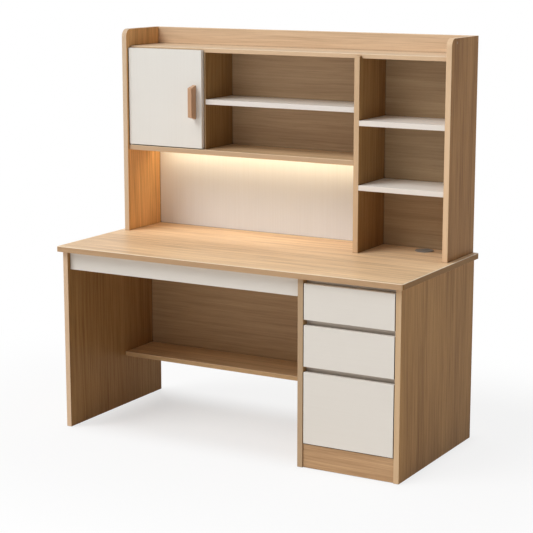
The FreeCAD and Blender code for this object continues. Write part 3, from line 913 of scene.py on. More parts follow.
@dataclass(frozen=True)
class GlowingDiffuser(Finish):
    """Frosted diffuser lit from behind; its diodes show as faint brighter spots.

    Attributes:
        pitch: distance from diode to diode.
        colour: colour of the diffuser.
        glow: colour of its light.
        strength: strength of its light.
        frost: how fine the frosting is, in steps per metre.
        frost_share: how much of it shows in the colour.
        roughness: mean roughness.
        rough_frost: how far the frosting moves it.
        relief: depth of the frosting in metres, and how much of it shows.
    """

    pitch: float
    colour: Colour = (0.93, 0.86, 0.74)
    glow: Colour = (1.0, 0.72, 0.40)
    strength: float = 1.6
    frost: float = 900.0
    frost_share: float = 0.3
    roughness: float = 0.55
    rough_frost: float = 0.2
    relief: tuple[float, float] = (0.05 * MM, 0.5)

    def sockets(self, graph: Graph) -> Sockets:
        """Tell what feeds the shader.

        Args:
            graph: the material's graph.

        Returns:
            Value or link of each input.
        """
        place = graph.place()
        spots = (place[Axis.X.value] * (2.0 * math.pi / self.pitch)).sine() * 0.5 + 0.5
        frost = Pattern((self.frost,) * 3).over(graph, *place)
        dimmer = shaded(self.glow, DEEP_LEVEL)
        return {
            "Base Color": graph.blend(frost * self.frost_share, self.colour, self.glow),
            "Roughness": self.roughness + frost.centred() * self.rough_frost,
            "Emission Color": graph.blend(spots, dimmer, self.glow),
            "Emission Strength": self.strength,
            "Normal": bump(graph, frost, *self.relief),
        }


# The oak finishes below are one laminate whose tones are set board by board to how light falls on
# it, as painted light and painted shade. Painted light: the lighter desktop, roof, gallery,
# cupboard floor and foot shelf, the lighter front edges of most sides and the tower divider, and
# the light bar's glow painted inside the hutch's left side. Painted shade: the darker sides,
# dividers, leg, pedestal side, plinth, tower back and modesty panel, darkest inside the leg and on
# the dividers, the darker front edge of the pedestal's left side, and the desktop's darker front
# edge and ends. Each rim colour is a painted highlight along softened upper edges.
OAK = OakLaminate()
OAK_TOP = OakLaminate(
    middle=(0.84, 0.584, 0.35), edge=(0.435, 0.262, 0.142), tip=(0.30, 0.145, 0.035),
    rim=(1.0, 0.84, 0.63), highlight_axes=(Axis.X, Axis.Y), highlight_width=6 * MM,
    roughness=0.38, gloss=0.08, contrast=0.9, width=30 * MM)
OAK_LIT_TOP = OakLaminate(
    middle=(0.74, 0.535, 0.35), edge=(0.72, 0.50, 0.31), rim=(0.92, 0.74, 0.53), contrast=0.6)
OAK_FOOT_SHELF = OakLaminate(
    middle=(0.63, 0.43, 0.245), edge=(0.575, 0.355, 0.17), rim=(0.80, 0.58, 0.36))
OAK_CUPBOARD_FLOOR = OakLaminate(
    middle=(0.61, 0.41, 0.235), edge=(0.59, 0.406, 0.255), rim=(0.86, 0.66, 0.44))
OAK_PLINTH = OakLaminate(middle=(0.46, 0.272, 0.138), edge=(0.46, 0.272, 0.138))
OAK_PEDESTAL_LEFT = OakLaminate(middle=(0.455, 0.268, 0.118), edge=(0.485, 0.34, 0.213), gloss=0.08)
OAK_HUTCH_LEFT = OakLaminate(
    middle=(0.43, 0.245, 0.10), far=(0.79, 0.44, 0.18), edge=(0.75, 0.57, 0.40), gloss=0.08)
OAK_LEG = OakLaminate(
    middle=(0.43, 0.245, 0.10), far=(0.345, 0.185, 0.068), edge=(0.73, 0.52, 0.35), gloss=0.08)
OAK_CUPBOARD_SIDE = OakLaminate(middle=(0.32, 0.18, 0.066), gloss=0.08)
OAK_TOWER_SIDE = OakLaminate(middle=(0.325, 0.18, 0.068), edge=(0.74, 0.52, 0.325), gloss=0.08)
OAK_DESK_RIGHT = OakLaminate(middle=(0.42, 0.215, 0.07), edge=(0.68, 0.475, 0.29), gloss=0.08)
OAK_HUTCH_RIGHT = OakLaminate(middle=(0.405, 0.203, 0.07), edge=(0.87, 0.63, 0.41), gloss=0.08)
OAK_UPPER_BACK = OakLaminate(middle=(0.52, 0.355, 0.21), contrast=0.6)
OAK_TOWER_BACK = OakLaminate(middle=(0.44, 0.305, 0.175), contrast=0.55)
OAK_MODESTY = OakLaminate(middle=(0.455, 0.29, 0.152), contrast=0.6)
# The white finishes are one laminate too: the tower shelves' lighter white is painted light, and
# the lower back panel's front face is tinted cooler than its back to offset the light bar's warm
# glow.
WHITE = WhiteLaminate()
WHITE_CENTRE = WhiteLaminate(
    colour=(0.80, 0.77, 0.715), shade=(0.74, 0.70, 0.635), edge=(0.85, 0.79, 0.74))
WHITE_TOWER = WhiteLaminate(
    colour=(0.94, 0.90, 0.84), shade=(0.88, 0.83, 0.76), edge=(0.83, 0.76, 0.69))
WHITE_FRONT = WhiteLaminate(
    colour=(0.775, 0.722, 0.652), shade=(0.72, 0.66, 0.585), edge=(0.82, 0.775, 0.71))
WHITE_BACKING = WhiteLaminate(
    colour=(0.88, 0.91, 0.945), far=(0.80, 0.775, 0.725), shade=(0.77, 0.78, 0.79),
    edge=(0.84, 0.81, 0.76), grain=0.9)
WHITE_LINER = WhiteLaminate(
    colour=(0.72, 0.68, 0.61), shade=(0.60, 0.55, 0.47), edge=(0.68, 0.64, 0.57))
PULL_OAK = SolidOak()
TAUPE = Metal((0.585, 0.50, 0.42), roughness=0.45, metallic=0.35)
SILVER = Metal((0.72, 0.72, 0.71), roughness=0.36)
ZINC = Metal((0.66, 0.67, 0.68), roughness=0.32, drawn=Axis.Y)
GREY_PLASTIC = MouldedPlastic((0.27, 0.26, 0.245), roughness=0.42)
DARK_PLASTIC = MouldedPlastic((0.02, 0.018, 0.016), roughness=0.5)
CLEAR_RUBBER = MouldedPlastic((0.62, 0.61, 0.58), roughness=0.3)
BROWN_CAP = MouldedPlastic((0.36, 0.20, 0.085), roughness=0.45)
CIRCUIT_BOARD = MouldedPlastic((0.80, 0.78, 0.72), roughness=0.4)
PHOSPHOR = MouldedPlastic((0.80, 0.66, 0.25), roughness=0.35)


def dress(node: str, material: bpy.types.Material) -> None:
    """Give a node of the model one material.

    Args:
        node: the node's name.
        material: its finish.
    """
    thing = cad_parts[node]
    thing.data.materials.clear()
    thing.data.materials.append(material)


# ------------------------------------------------------------------------------- small fittings


Ring = list[bmesh.types.BMVert]


def turned_wall(
    mesh: bmesh.types.BMesh, place: Matrix, profile: Sequence[tuple[float, float]], segments: int,
) -> list[Ring]:
    """Build the outer wall of a turned shape.

    Args:
        mesh: the mesh that takes it.
        place: turns +Z outwards and moves the seat to its spot.
        profile: radius and height of each ring, from the seat outwards.
        segments: facets round the rim.

    Returns:
        The points of each ring.
    """
    turns = [2 * math.pi * index / segments for index in range(segments)]
    rings = []
    for radius, height in profile:
        points = [Vector((math.cos(turn) * radius, math.sin(turn) * radius, height))
                  for turn in turns]
        rings.append([mesh.verts.new(place @ point) for point in points])
    for lower, upper in zip(rings, rings[1:]):
        for index in range(segments):
            after = (index + 1) % segments
            mesh.faces.new((lower[index], lower[after], upper[after], upper[index]))
    return rings


@dataclass(frozen=True)
class Dome:
    """A low round button: a cover cap or a rubber bumper.

    Attributes:
        radius: radius at the seat.
        height: how far it stands proud.
        crown: share of the radius that the flat middle takes.
        segments: facets round the rim.
        steps: facets from the rim to the flat middle.
    """

    radius: float
    height: float
    crown: float = 0.5
    segments: int = 28
    steps: int = 5

    def add_to(self, mesh: bmesh.types.BMesh, place: Matrix) -> None:
        """Add the button to a mesh.

        Args:
            mesh: the mesh that takes it.
            place: turns +Z outwards and moves the seat to its spot.
        """
        flat = self.radius * self.crown
        quarter = [math.pi / 2 * step / self.steps for step in range(self.steps + 1)]
        profile = [(flat + (self.radius - flat) * math.cos(turn), self.height * math.sin(turn))
                   for turn in quarter]
        rings = turned_wall(mesh, place, profile, self.segments)
        mesh.faces.new(rings[-1])
        mesh.faces.new(list(reversed(rings[0])))


@dataclass(frozen=True)
class ScrewHead:
    """A round head with a cross recess, seen from outside.

    Attributes:
        radius: radius of the head.
        height: how far the head stands proud.
        depth: how deep the recess goes.
        floor: metal left under the recess.
        segments: facets round the rim.
        arm: reach of the recess's arms, as a share of the radius.
        arm_width: half the width of an arm, likewise.
        taper: size of the recess's floor, as a share of its mouth.
        shoulder: radius and height of the rings of the head's edge, as shares.
    """

    radius: float
    height: float
    depth: float
    floor: float = 0.25 * MM
    segments: int = 32
    arm: float = 0.52
    arm_width: float = 0.13
    taper: float = 0.8
    shoulder: tuple[tuple[float, float], ...] = ((1.0, 0.45), (0.93, 0.8), (0.80, 1.0))

    def add_to(self, mesh: bmesh.types.BMesh, place: Matrix) -> None:
        """Add the head to a mesh.

        Args:
            mesh: the mesh that takes it.
            place: turns +Z outwards and moves the seat to its spot.
        """
        arm = self.radius * self.arm
        width = self.radius * self.arm_width
        cross = [(arm, -width), (arm, width), (width, width), (width, arm), (-width, arm),
                 (-width, width), (-arm, width), (-arm, -width), (-width, -width), (-width, -arm),
                 (width, -arm), (width, -width)]
        sunk = max(0.0, self.depth + self.floor - self.height)
        profile = [(self.radius, -sunk)]
        profile += [(self.radius * share, self.height * level) for share, level in self.shoulder]
        rings = turned_wall(mesh, place, profile, self.segments)
        mouth = [mesh.verts.new(place @ Vector((x, y, self.height))) for x, y in cross]
        floor = self.height - self.depth
        base = [mesh.verts.new(place @ Vector((x * self.taper, y * self.taper, floor)))
                for x, y in cross]
        for index in range(len(cross)):
            after = (index + 1) % len(cross)
            mesh.faces.new((mouth[index], mouth[after], base[after], base[index]))
        mesh.faces.new(base)
        self._close_top(mesh, rings[-1], mouth)
        mesh.faces.new(list(reversed(rings[0])))

    def _close_top(self, mesh: bmesh.types.BMesh, rim: Ring, mouth: Ring) -> None:
        """Fill the face between the rim and the recess.

        Args:
            mesh: the mesh being built.
            rim: points round the top.
            mouth: points round the recess.
        """
        edges = []
        for loop in (rim, mouth):
            for index, start in enumerate(loop):
                end = loop[(index + 1) % len(loop)]
                edges.append(mesh.edges.get((start, end)) or mesh.edges.new((start, end)))
        bmesh.ops.triangle_fill(mesh, edges=edges, use_beauty=True)


class Facing(Enum):
    """Where the outer side of a fitting points, as a unit vector."""

    LEFT = (-1.0, 0.0, 0.0)
    RIGHT = (1.0, 0.0, 0.0)
    REAR = (0.0, 1.0, 0.0)
    DOWN = (0.0, 0.0, -1.0)
    UP = (0.0, 0.0, 1.0)

    def matrix(self, spot: Vector) -> Matrix:
        """Place at a spot with +Z turned to this side."""
        turn = Vector(self.value).to_track_quat("Z", "Y").to_matrix().to_4x4()
        return Matrix.Translation(spot) @ turn


def add_piece(
    name: str, mesh: bmesh.types.BMesh, material: bpy.types.Material, body: str,
) -> bpy.types.Object:
    """Turn a mesh into a piece that rides on a body.

    Args:
        name: the piece's name.
        mesh: its shape in the frame; it is freed.
        material: its finish.
        body: the body that carries it.

    Returns:
        The new object.
    """
    bmesh.ops.recalc_face_normals(mesh, faces=mesh.faces)
    data = bpy.data.meshes.new(name)
    mesh.to_mesh(data)
    mesh.free()
    data.materials.append(material)
    piece = bpy.data.objects.new(name, data)
    bpy.context.scene.collection.objects.link(piece)
    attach(piece, body)
    return piece


@dataclass(frozen=True)
class FastenerSet:
    """Equal screws, caps or bumpers shown on one body.

    Attributes:
        name: the piece's name.
        body: the body that carries them.
        head: the shape of each.
        spots: where they sit and which way they face.
        slot: the record's material slot, where one fits; not used.
    """

    name: str
    body: str
    head: Union[ScrewHead, Dome]
    spots: Sequence[tuple[Vector, Facing]]
    slot: Optional[str] = "zinc_steel"

    def build(self, material: bpy.types.Material) -> bpy.types.Object:
        """Make the set as one piece.

        Args:
            material: its finish.

        Returns:
            The new object.
        """
        mesh = bmesh.new()
        for spot, facing in self.spots:
            self.head.add_to(mesh, facing.matrix(spot))
        return add_piece(self.name, mesh, material, self.body)


CAM = ScrewHead(radius=7.3 * MM, height=0.4 * MM, depth=1.6 * MM)
SCREW = ScrewHead(radius=3.4 * MM, height=0.9 * MM, depth=1.2 * MM)
FLAT_SCREW = ScrewHead(radius=3.2 * MM, height=0.25 * MM, depth=0.9 * MM)
BUMPER = Dome(radius=4.0 * MM, height=1.5 * MM, crown=0.3)
COVER_CAP = Dome(radius=5.0 * MM, height=0.6 * MM, crown=0.8)


def spread(low: float, high: float, margin: float, count: int) -> list[float]:
    """Even places between two ends.

    Args:
        low: the first end.
        high: the second end.
        margin: distance of the outer places from the ends.
        count: how many places, at least two.

    Returns:
        The places in order.
    """
    step = (high - low - 2 * margin) / (count - 1)
    return [low + margin + step * index for index in range(count)]


# ------------------------------------------------------------------------------- sub-assemblies


# How far the seeds of neighbouring wood boards lie apart, and the seed of each drawer.
SEED_STEP = 1.7
DRAWER_SEEDS = (("upper", 41.0), ("middle", 43.5), ("lower", 47.2))

OakBoards = tuple[tuple[str, Axis, OakLaminate], ...]


def dress_boards(boards: OakBoards, seed: float) -> None:
    """Give wood boards their finishes.

    Args:
        boards: node, grain and finish of each.
        seed: shifts the pattern of the first.
    """
    for index, (node, grain, oak) in enumerate(boards):
        dress(node, oak.material(Board(node, grain, seed + index * SEED_STEP)))


@dataclass
class Desk:
    """Panel leg, pedestal carcass, desktop, apron, modesty panel and foot shelf.

    Attributes:
        boards: node, grain and finish of each wood board.
        seed: shifts the pattern of the first board.
        apron_seed: the same for the apron.
        rear_cams: upright boards with cam fittings behind, and at which shares of their height.
        end_margin: distance of the fittings from a board's ends.
        edge_margin: distance of the foot shelf's fittings from its edges.
    """

    boards: OakBoards = (
        ("desktop", Axis.X, OAK_TOP),
        ("left_leg_panel", Axis.Z, OAK_LEG),
        ("pedestal_left_panel", Axis.Z, OAK_PEDESTAL_LEFT),
        ("pedestal_right_panel", Axis.Z, OAK_DESK_RIGHT),
        ("plinth", Axis.X, OAK_PLINTH),
        ("pedestal_floor", Axis.X, OAK),
        ("pedestal_back", Axis.Z, OAK),
        ("modesty_panel", Axis.X, OAK_MODESTY),
        ("foot_shelf", Axis.X, OAK_FOOT_SHELF),
    )
    seed: float = 0.13
    apron_seed: float = 2.1
    rear_cams: tuple[tuple[str, tuple[float, ...]], ...] = (
        ("apron", (0.5,)),
        ("modesty_panel", (0.12, 0.88)),
    )
    end_margin: float = 40 * MM
    edge_margin: float = 45 * MM

    def dress(self) -> None:
        """Give each board its finish."""
        dress_boards(self.boards, self.seed)
        dress("apron", WHITE_FRONT.material(Board("apron", Axis.X, self.apron_seed)))
        dress("floor_glides", DARK_PLASTIC.material("glide_plastic"))

    def build(self, zinc: bpy.types.Material) -> Pieces:
        """Add the cam fittings under the foot shelf and behind the apron and the modesty panel.

        Args:
            zinc: finish of the fittings.

        Returns:
            The new pieces.
        """
        spots = []
        low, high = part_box("foot_shelf")
        for x in (low.x + self.end_margin, high.x - self.end_margin):
            for y in (low.y + self.edge_margin, high.y - self.edge_margin):
                spots.append((Vector((x, y, low.z)), Facing.DOWN))
        for node, shares in self.rear_cams:
            low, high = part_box(node)
            for x in (low.x + self.end_margin, high.x - self.end_margin):
                for share in shares:
                    z = low.z + (high.z - low.z) * share
                    spots.append((Vector((x, high.y, z)), Facing.REAR))
        return [FastenerSet("desk_cams", "desk", CAM, spots).build(zinc)]


@dataclass
class Drawer:
    """One drawer with its box, slides and the finger rail above its front.

    Attributes:
        place: upper, middle or lower.
        seed: shifts the patterns.
        box_boards: what the box is made of, with the grain and the axis through the boards.
        box_shift: how far the box's seed lies from the front's.
        slide_screws: screws in each slide member.
        slide_margin: distance of the outer screws from a member's ends.
        slide_wall: wall of an outer member.
        inner_web_depth: from a pair's outer side to the inner members' webs.
        rail_wall: wall of the finger rail.
        bumper_inset: distance of the bumpers from the front's ends.
        side_board: thickness of the box's sides.
        cam_inset: distance of the cams from the sides' edges and front ends.
    """

    place: str
    seed: float
    box_boards: tuple[tuple[str, Axis, Axis], ...] = (
        ("sides", Axis.Y, Axis.X),
        ("back", Axis.X, Axis.Y),
        ("base", Axis.Y, Axis.Z),
    )
    box_shift: float = 3.0
    slide_screws: int = 3
    slide_margin: float = 36 * MM
    slide_wall: float = 1.2 * MM
    inner_web_depth: float = 7.9 * MM
    rail_wall: float = 1.6 * MM
    bumper_inset: float = 14 * MM
    side_board: float = 12 * MM
    cam_inset: float = 24 * MM

    @property
    def body(self) -> str:
        """Name of the moving body."""
        return f"{self.place}_drawer"

    def dress(self, taupe: bpy.types.Material, zinc: bpy.types.Material) -> None:
        """Give front, box, rail and slides their finishes.

        Args:
            taupe: finish of the finger rail.
            zinc: finish of the slides.
        """
        front = f"{self.body}_front"
        dress(front, WHITE_FRONT.material(Board(front, Axis.X, self.seed)))
        for piece, grain, thickness in self.box_boards:
            node = f"{self.body}_{piece}"
            board = Board(node, grain, self.seed + self.box_shift, thickness)
            dress(node, WHITE_LINER.material(board))
        dress(f"{self.place}_finger_rail", taupe)
        dress(f"{self.body}_slide_inner", zinc)
        dress(f"{self.body}_slide_middle", zinc)

    def _slide_spots(
        self, low: Vector, high: Vector, webs: Sequence[tuple[float, Facing]],
    ) -> list[tuple[Vector, Facing]]:
        """Find the spots of the screws in the webs of a pair of slide members.

        Args:
            low: lowest corner of the pair.
            high: highest corner of the pair.
            webs: where each web's visible face lies and which way it faces.

        Returns:
            Spots with their directions.
        """
        level = (low.z + high.z) / 2
        return [(Vector((x, y, level)), facing)
                for y in spread(low.y, high.y, self.slide_margin, self.slide_screws)
                for x, facing in webs]

    def build(self, zinc: bpy.types.Material, rubber: bpy.types.Material) -> Pieces:
        """Add the screws of the slides, the cam fittings of the front and its bumpers.

        Args:
            zinc: finish of the screws and cams.
            rubber: finish of the bumpers.

        Returns:
            The new pieces.
        """
        low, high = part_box(f"{self.body}_slide_inner")
        depth = self.inner_web_depth
        webs = (low.x + depth, Facing.LEFT), (high.x - depth, Facing.RIGHT)
        inner = self._slide_spots(low, high, webs)
        outer_low, outer_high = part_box("slide_outer_members")
        low = Vector((outer_low.x, low.y, low.z))
        high = Vector((outer_high.x, high.y, high.z))
        wall = self.slide_wall
        webs = (low.x + wall, Facing.RIGHT), (high.x - wall, Facing.LEFT)
        outer = self._slide_spots(low, high, webs)

        low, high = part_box(f"{self.body}_sides")
        y = low.y + self.cam_inset
        cams = []
        for z in spread(low.z, high.z, self.cam_inset, 2):
            cams.append((Vector((low.x + self.side_board, y, z)), Facing.RIGHT))
            cams.append((Vector((high.x - self.side_board, y, z)), Facing.LEFT))

        low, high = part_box(f"{self.body}_front")
        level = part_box(f"{self.place}_finger_rail")[0].z + self.rail_wall / 2
        bumpers = [(Vector((x, high.y, level)), Facing.REAR)
                   for x in (low.x + self.bumper_inset, high.x - self.bumper_inset)]
        return [
            FastenerSet(f"{self.body}_slide_screws", self.body, SCREW, inner).build(zinc),
            FastenerSet(f"{self.place}_panel_screws", "desk", FLAT_SCREW, outer).build(zinc),
            FastenerSet(f"{self.body}_cams", self.body, CAM, cams).build(zinc),
            FastenerSet(f"{self.body}_bumpers", self.body, BUMPER, bumpers, None).build(rubber),
        ]


@dataclass
class Hutch:
    """Sides, roof, gallery, cupboard, tower, shelves and back panels.

    Attributes:
        boards: node, grain and finish of each wood board.
        shelves: node and finish of each off-white shelf.
        back_screws: rows of screws: back panel, board behind which they sit, how far above that
            board's middle, and how many.
        seed: shifts the pattern of the first board.
        shelf_seed: the same for the first shelf.
        backing_seed: the same for the lower back panel.
        end_margin: distance of the fittings from a board's ends.
        edge_margin: distance of the cams from a shelf's front edge.
        rear_margin: the same from the back panel.
        cap_from_front: distance of the cover cap from the right side's front edge.
        cap_from_top: the same from its top.
    """

    boards: OakBoards = (
        ("hutch_left_side", Axis.Z, OAK_HUTCH_LEFT),
        ("hutch_right_side", Axis.Z, OAK_HUTCH_RIGHT),
        ("cupboard_divider", Axis.Z, OAK_CUPBOARD_SIDE),
        ("tower_divider", Axis.Z, OAK_TOWER_SIDE),
        ("hutch_roof", Axis.X, OAK_LIT_TOP),
        ("gallery_rail", Axis.X, OAK_LIT_TOP),
        ("cupboard_floor", Axis.X, OAK_CUPBOARD_FLOOR),
        ("upper_back_panel", Axis.X, OAK_UPPER_BACK),
        ("tower_back_panel", Axis.X, OAK_TOWER_BACK),
    )
    shelves: tuple[tuple[str, WhiteLaminate], ...] = (
        ("centre_shelf", WHITE_CENTRE),
        ("tower_shelf_lower", WHITE_TOWER),
        ("tower_shelf_upper", WHITE_TOWER),
    )
    back_screws: tuple[tuple[str, str, float, int], ...] = (
        ("upper_back_panel", "cupboard_floor", 5 * MM, 6),
        ("lower_back_panel", "cupboard_floor", -5 * MM, 6),
        ("upper_back_panel", "centre_shelf", 0.0, 4),
        ("tower_back_panel", "tower_shelf_lower", 0.0, 3),
        ("tower_back_panel", "tower_shelf_upper", 0.0, 3),
    )
    seed: float = 17.3
    shelf_seed: float = 23.6
    backing_seed: float = 29.5
    end_margin: float = 34 * MM
    edge_margin: float = 50 * MM
    rear_margin: float = 80 * MM
    cap_from_front: float = 47 * MM
    cap_from_top: float = 17 * MM

    def dress(self) -> None:
        """Give each board its finish."""
        dress_boards(self.boards, self.seed)
        for index, (node, white) in enumerate(self.shelves):
            dress(node, white.material(Board(node, Axis.X, self.shelf_seed + index)))
        backing = Board("lower_back_panel", Axis.Z, self.backing_seed)
        dress("lower_back_panel", WHITE_BACKING.material(backing))

    def build(self, zinc: bpy.types.Material, cap: bpy.types.Material) -> Pieces:
        """Add the cam fittings, the screws of the back panels and the cover cap on the right side.

        Args:
            zinc: finish of the cams and screws.
            cap: finish of the cover cap.

        Returns:
            The new pieces.
        """
        spots = []
        for node in ("hutch_roof", "cupboard_floor", *(shelf for shelf, _ in self.shelves)):
            low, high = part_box(node)
            rear = min(high.y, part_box("lower_back_panel")[0].y)
            for x in (low.x + self.end_margin, high.x - self.end_margin):
                for y in (low.y + self.edge_margin, rear - self.rear_margin):
                    spots.append((Vector((x, y, low.z)), Facing.DOWN))

        screws = []
        for panel, shelf, offset, count in self.back_screws:
            low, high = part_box(panel)
            shelf_low, shelf_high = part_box(shelf)
            z = (shelf_low.z + shelf_high.z) / 2 + offset
            left, right = max(low.x, shelf_low.x), min(high.x, shelf_high.x)
            screws += [(Vector((x, high.y, z)), Facing.REAR)
                       for x in spread(left, right, self.end_margin, count)]

        low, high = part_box("hutch_right_side")
        spot = Vector((high.x, low.y + self.cap_from_front, high.z - self.cap_from_top))
        side = [(spot, Facing.RIGHT)]
        return [
            FastenerSet("hutch_cams", "desk", CAM, spots).build(zinc),
            FastenerSet("back_panel_screws", "desk", SCREW, screws).build(zinc),
            FastenerSet("side_cover_cap", "desk", COVER_CAP, side, "oak_laminate").build(cap),
        ]


@dataclass
class Door:
    """Cupboard door with its pull, hinge leaves, catch and bumpers.

    Attributes:
        seed: shifts the pattern.
        pull_screw_share: where the pull's screws sit, as shares of its height.
        bumper_inset: distance of the bumpers from the panel's top and bottom.
        bumper_from_divider: how far right of the divider's left face they meet its edge.
        leaf_thickness: thickness of a hinge leaf.
        leaf_screws: distances of a leaf's screws from its rear end.
        ear_width: width of an ear of the catch.
        ear_height: thickness of an ear.
    """

    seed: float = 31.7
    pull_screw_share: tuple[float, ...] = (0.18, 0.82)
    bumper_inset: float = 40 * MM
    bumper_from_divider: float = 7 * MM
    leaf_thickness: float = 2 * MM
    leaf_screws: tuple[float, ...] = (8 * MM, 26 * MM)
    ear_width: float = 9 * MM
    ear_height: float = 3 * MM

    def dress(self, zinc: bpy.types.Material, plastic: bpy.types.Material) -> None:
        """Give the door and its hardware their finishes.

        Args:
            zinc: finish of the hinge leaves and the strike.
            plastic: finish of the catch.
        """
        dress("door_panel", WHITE.material(Board("door_panel", Axis.Z, self.seed)))
        dress("door_handle", PULL_OAK.material("pull_oak"))
        dress("hinge_leaves", zinc)
        dress("catch_strike", zinc)
        dress("magnet_catch", plastic)

    def build(self, zinc: bpy.types.Material, rubber: bpy.types.Material) -> Pieces:
        """Add the screws of the pull, the leaves and the catch, and the bumpers of the door.

        Args:
            zinc: finish of the screws.
            rubber: finish of the bumpers.

        Returns:
            The new pieces.
        """
        panel_low, panel_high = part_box("door_panel")
        low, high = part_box("door_handle")
        x = (low.x + high.x) / 2
        pull = [(Vector((x, panel_high.y, low.z + (high.z - low.z) * share)), Facing.REAR)
                for share in self.pull_screw_share]

        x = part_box("cupboard_divider")[0].x + self.bumper_from_divider
        bumpers = [(Vector((x, panel_high.y, z)), Facing.REAR)
                   for z in spread(panel_low.z, panel_high.z, self.bumper_inset, 2)]

        low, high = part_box("hinge_leaves")
        x = (low.x + high.x) / 2
        leaves = []
        for step in self.leaf_screws:
            leaves.append((Vector((x, high.y - step, low.z + self.leaf_thickness)), Facing.UP))
            leaves.append((Vector((x, high.y - step, high.z - self.leaf_thickness)), Facing.DOWN))

        low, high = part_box("magnet_catch")
        y = (low.y + high.y) / 2
        ears = [(Vector((x, y, high.z - self.ear_height)), Facing.DOWN)
                for x in (low.x + self.ear_width / 2, high.x - self.ear_width / 2)]
        return [
            FastenerSet("pull_screws", "door", SCREW, pull).build(zinc),
            FastenerSet("door_bumpers", "door", BUMPER, bumpers, None).build(rubber),
            FastenerSet("hinge_screws", "desk", SCREW, leaves).build(zinc),
            FastenerSet("catch_screws", "desk", SCREW, ears).build(zinc),
        ]


@dataclass
class Grommet:
    """Cable grommet in the desktop."""

    def dress(self, plastic: bpy.types.Material) -> None:
        """Give the liner and the cap their finish."""
        dress("grommet_liner", plastic)
        dress("grommet_cap", plastic)


@dataclass
class LightBar:
    """Light bar under the cupboard floor, with the lamp that stands for its diodes.

    Attributes:
        colour: colour of the light.
        power: power of the lamp in watts.
        tilt: how far its beam is turned towards the back panel, in degrees.
        width: width of the lamp.
        inset: distance of the lamp's ends from those of the diffuser.
        gap: distance of the lamp below the diffuser.
        diode_pitch: distance from diode to diode.
        diode_size: length, width and height of a diode.
        diode_rim: width of the rim round its window.
        window_depth: depth of the window, as a share of the diode's height.
    """

    colour: Colour = (1.0, 0.81, 0.49)
    power: float = 0.44
    tilt: float = 22.0
    width: float = 6 * MM
    inset: float = 20 * MM
    gap: float = 3 * MM
    diode_pitch: float = 16.6 * MM
    diode_size: tuple[float, float, float] = (2.8 * MM, 3.5 * MM, 0.7 * MM)
    diode_rim: float = 0.45 * MM
    window_depth: float = 0.3

    def dress(self, silver: bpy.types.Material) -> None:
        """Give the channel, the strip and the diffuser their finishes.

        Args:
            silver: finish of the channel.
        """
        dress("light_channel", silver)
        dress("light_strip", CIRCUIT_BOARD.material("circuit_board"))
        dress("light_diffuser", GlowingDiffuser(self.diode_pitch).material("glowing_diffuser"))

    def build(self) -> Pieces:
        """Add the row of diodes under the circuit board, each with a recessed window.

        Returns:
            The new pieces.
        """
        low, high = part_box("light_strip")
        mesh = bmesh.new()
        size = Vector(self.diode_size)
        count = int((high.x - low.x) / self.diode_pitch)
        middle = Vector(((low.x + high.x) / 2, (low.y + high.y) / 2, low.z - size.z / 2))
        for index in range(count):
            centre = middle + Vector(((index - (count - 1) / 2) * self.diode_pitch, 0.0, 0.0))
            place = Matrix.Translation(centre) @ Matrix.Diagonal((*size, 1.0))
            block = bmesh.ops.create_cube(mesh, size=1.0, matrix=place)
            mesh.faces.ensure_lookup_table()
            window = min({face for vert in block["verts"] for face in vert.link_faces},
                         key=lambda face: face.calc_center_median().z)
            bmesh.ops.inset_region(
                mesh, faces=[window], thickness=self.diode_rim, use_even_offset=True)
            bmesh.ops.translate(
                mesh, verts=window.verts, vec=(0.0, 0.0, size.z * self.window_depth))
        return [add_piece("diode_row", mesh, PHOSPHOR.material("diode_phosphor"), "desk")]

    def light(self) -> None:
        """Add the long narrow lamp under the diffuser."""
        low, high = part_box("light_diffuser")
        lamp = bpy.data.lights.new("diode_glow", "AREA")
        lamp.shape = "RECTANGLE"
        lamp.size = high.x - low.x - 2 * self.inset
        lamp.size_y = self.width
        lamp.color = self.colour
        lamp.energy = self.power
        holder = bpy.data.objects.new("diode_glow", lamp)
        holder.rotation_euler = (math.radians(self.tilt), 0.0, 0.0)
        holder.location = Vector(((low.x + high.x) / 2, (low.y + high.y) / 2, low.z - self.gap))
        bpy.context.scene.collection.objects.link(holder)


# ------------------------------------------------------------------------------- studio


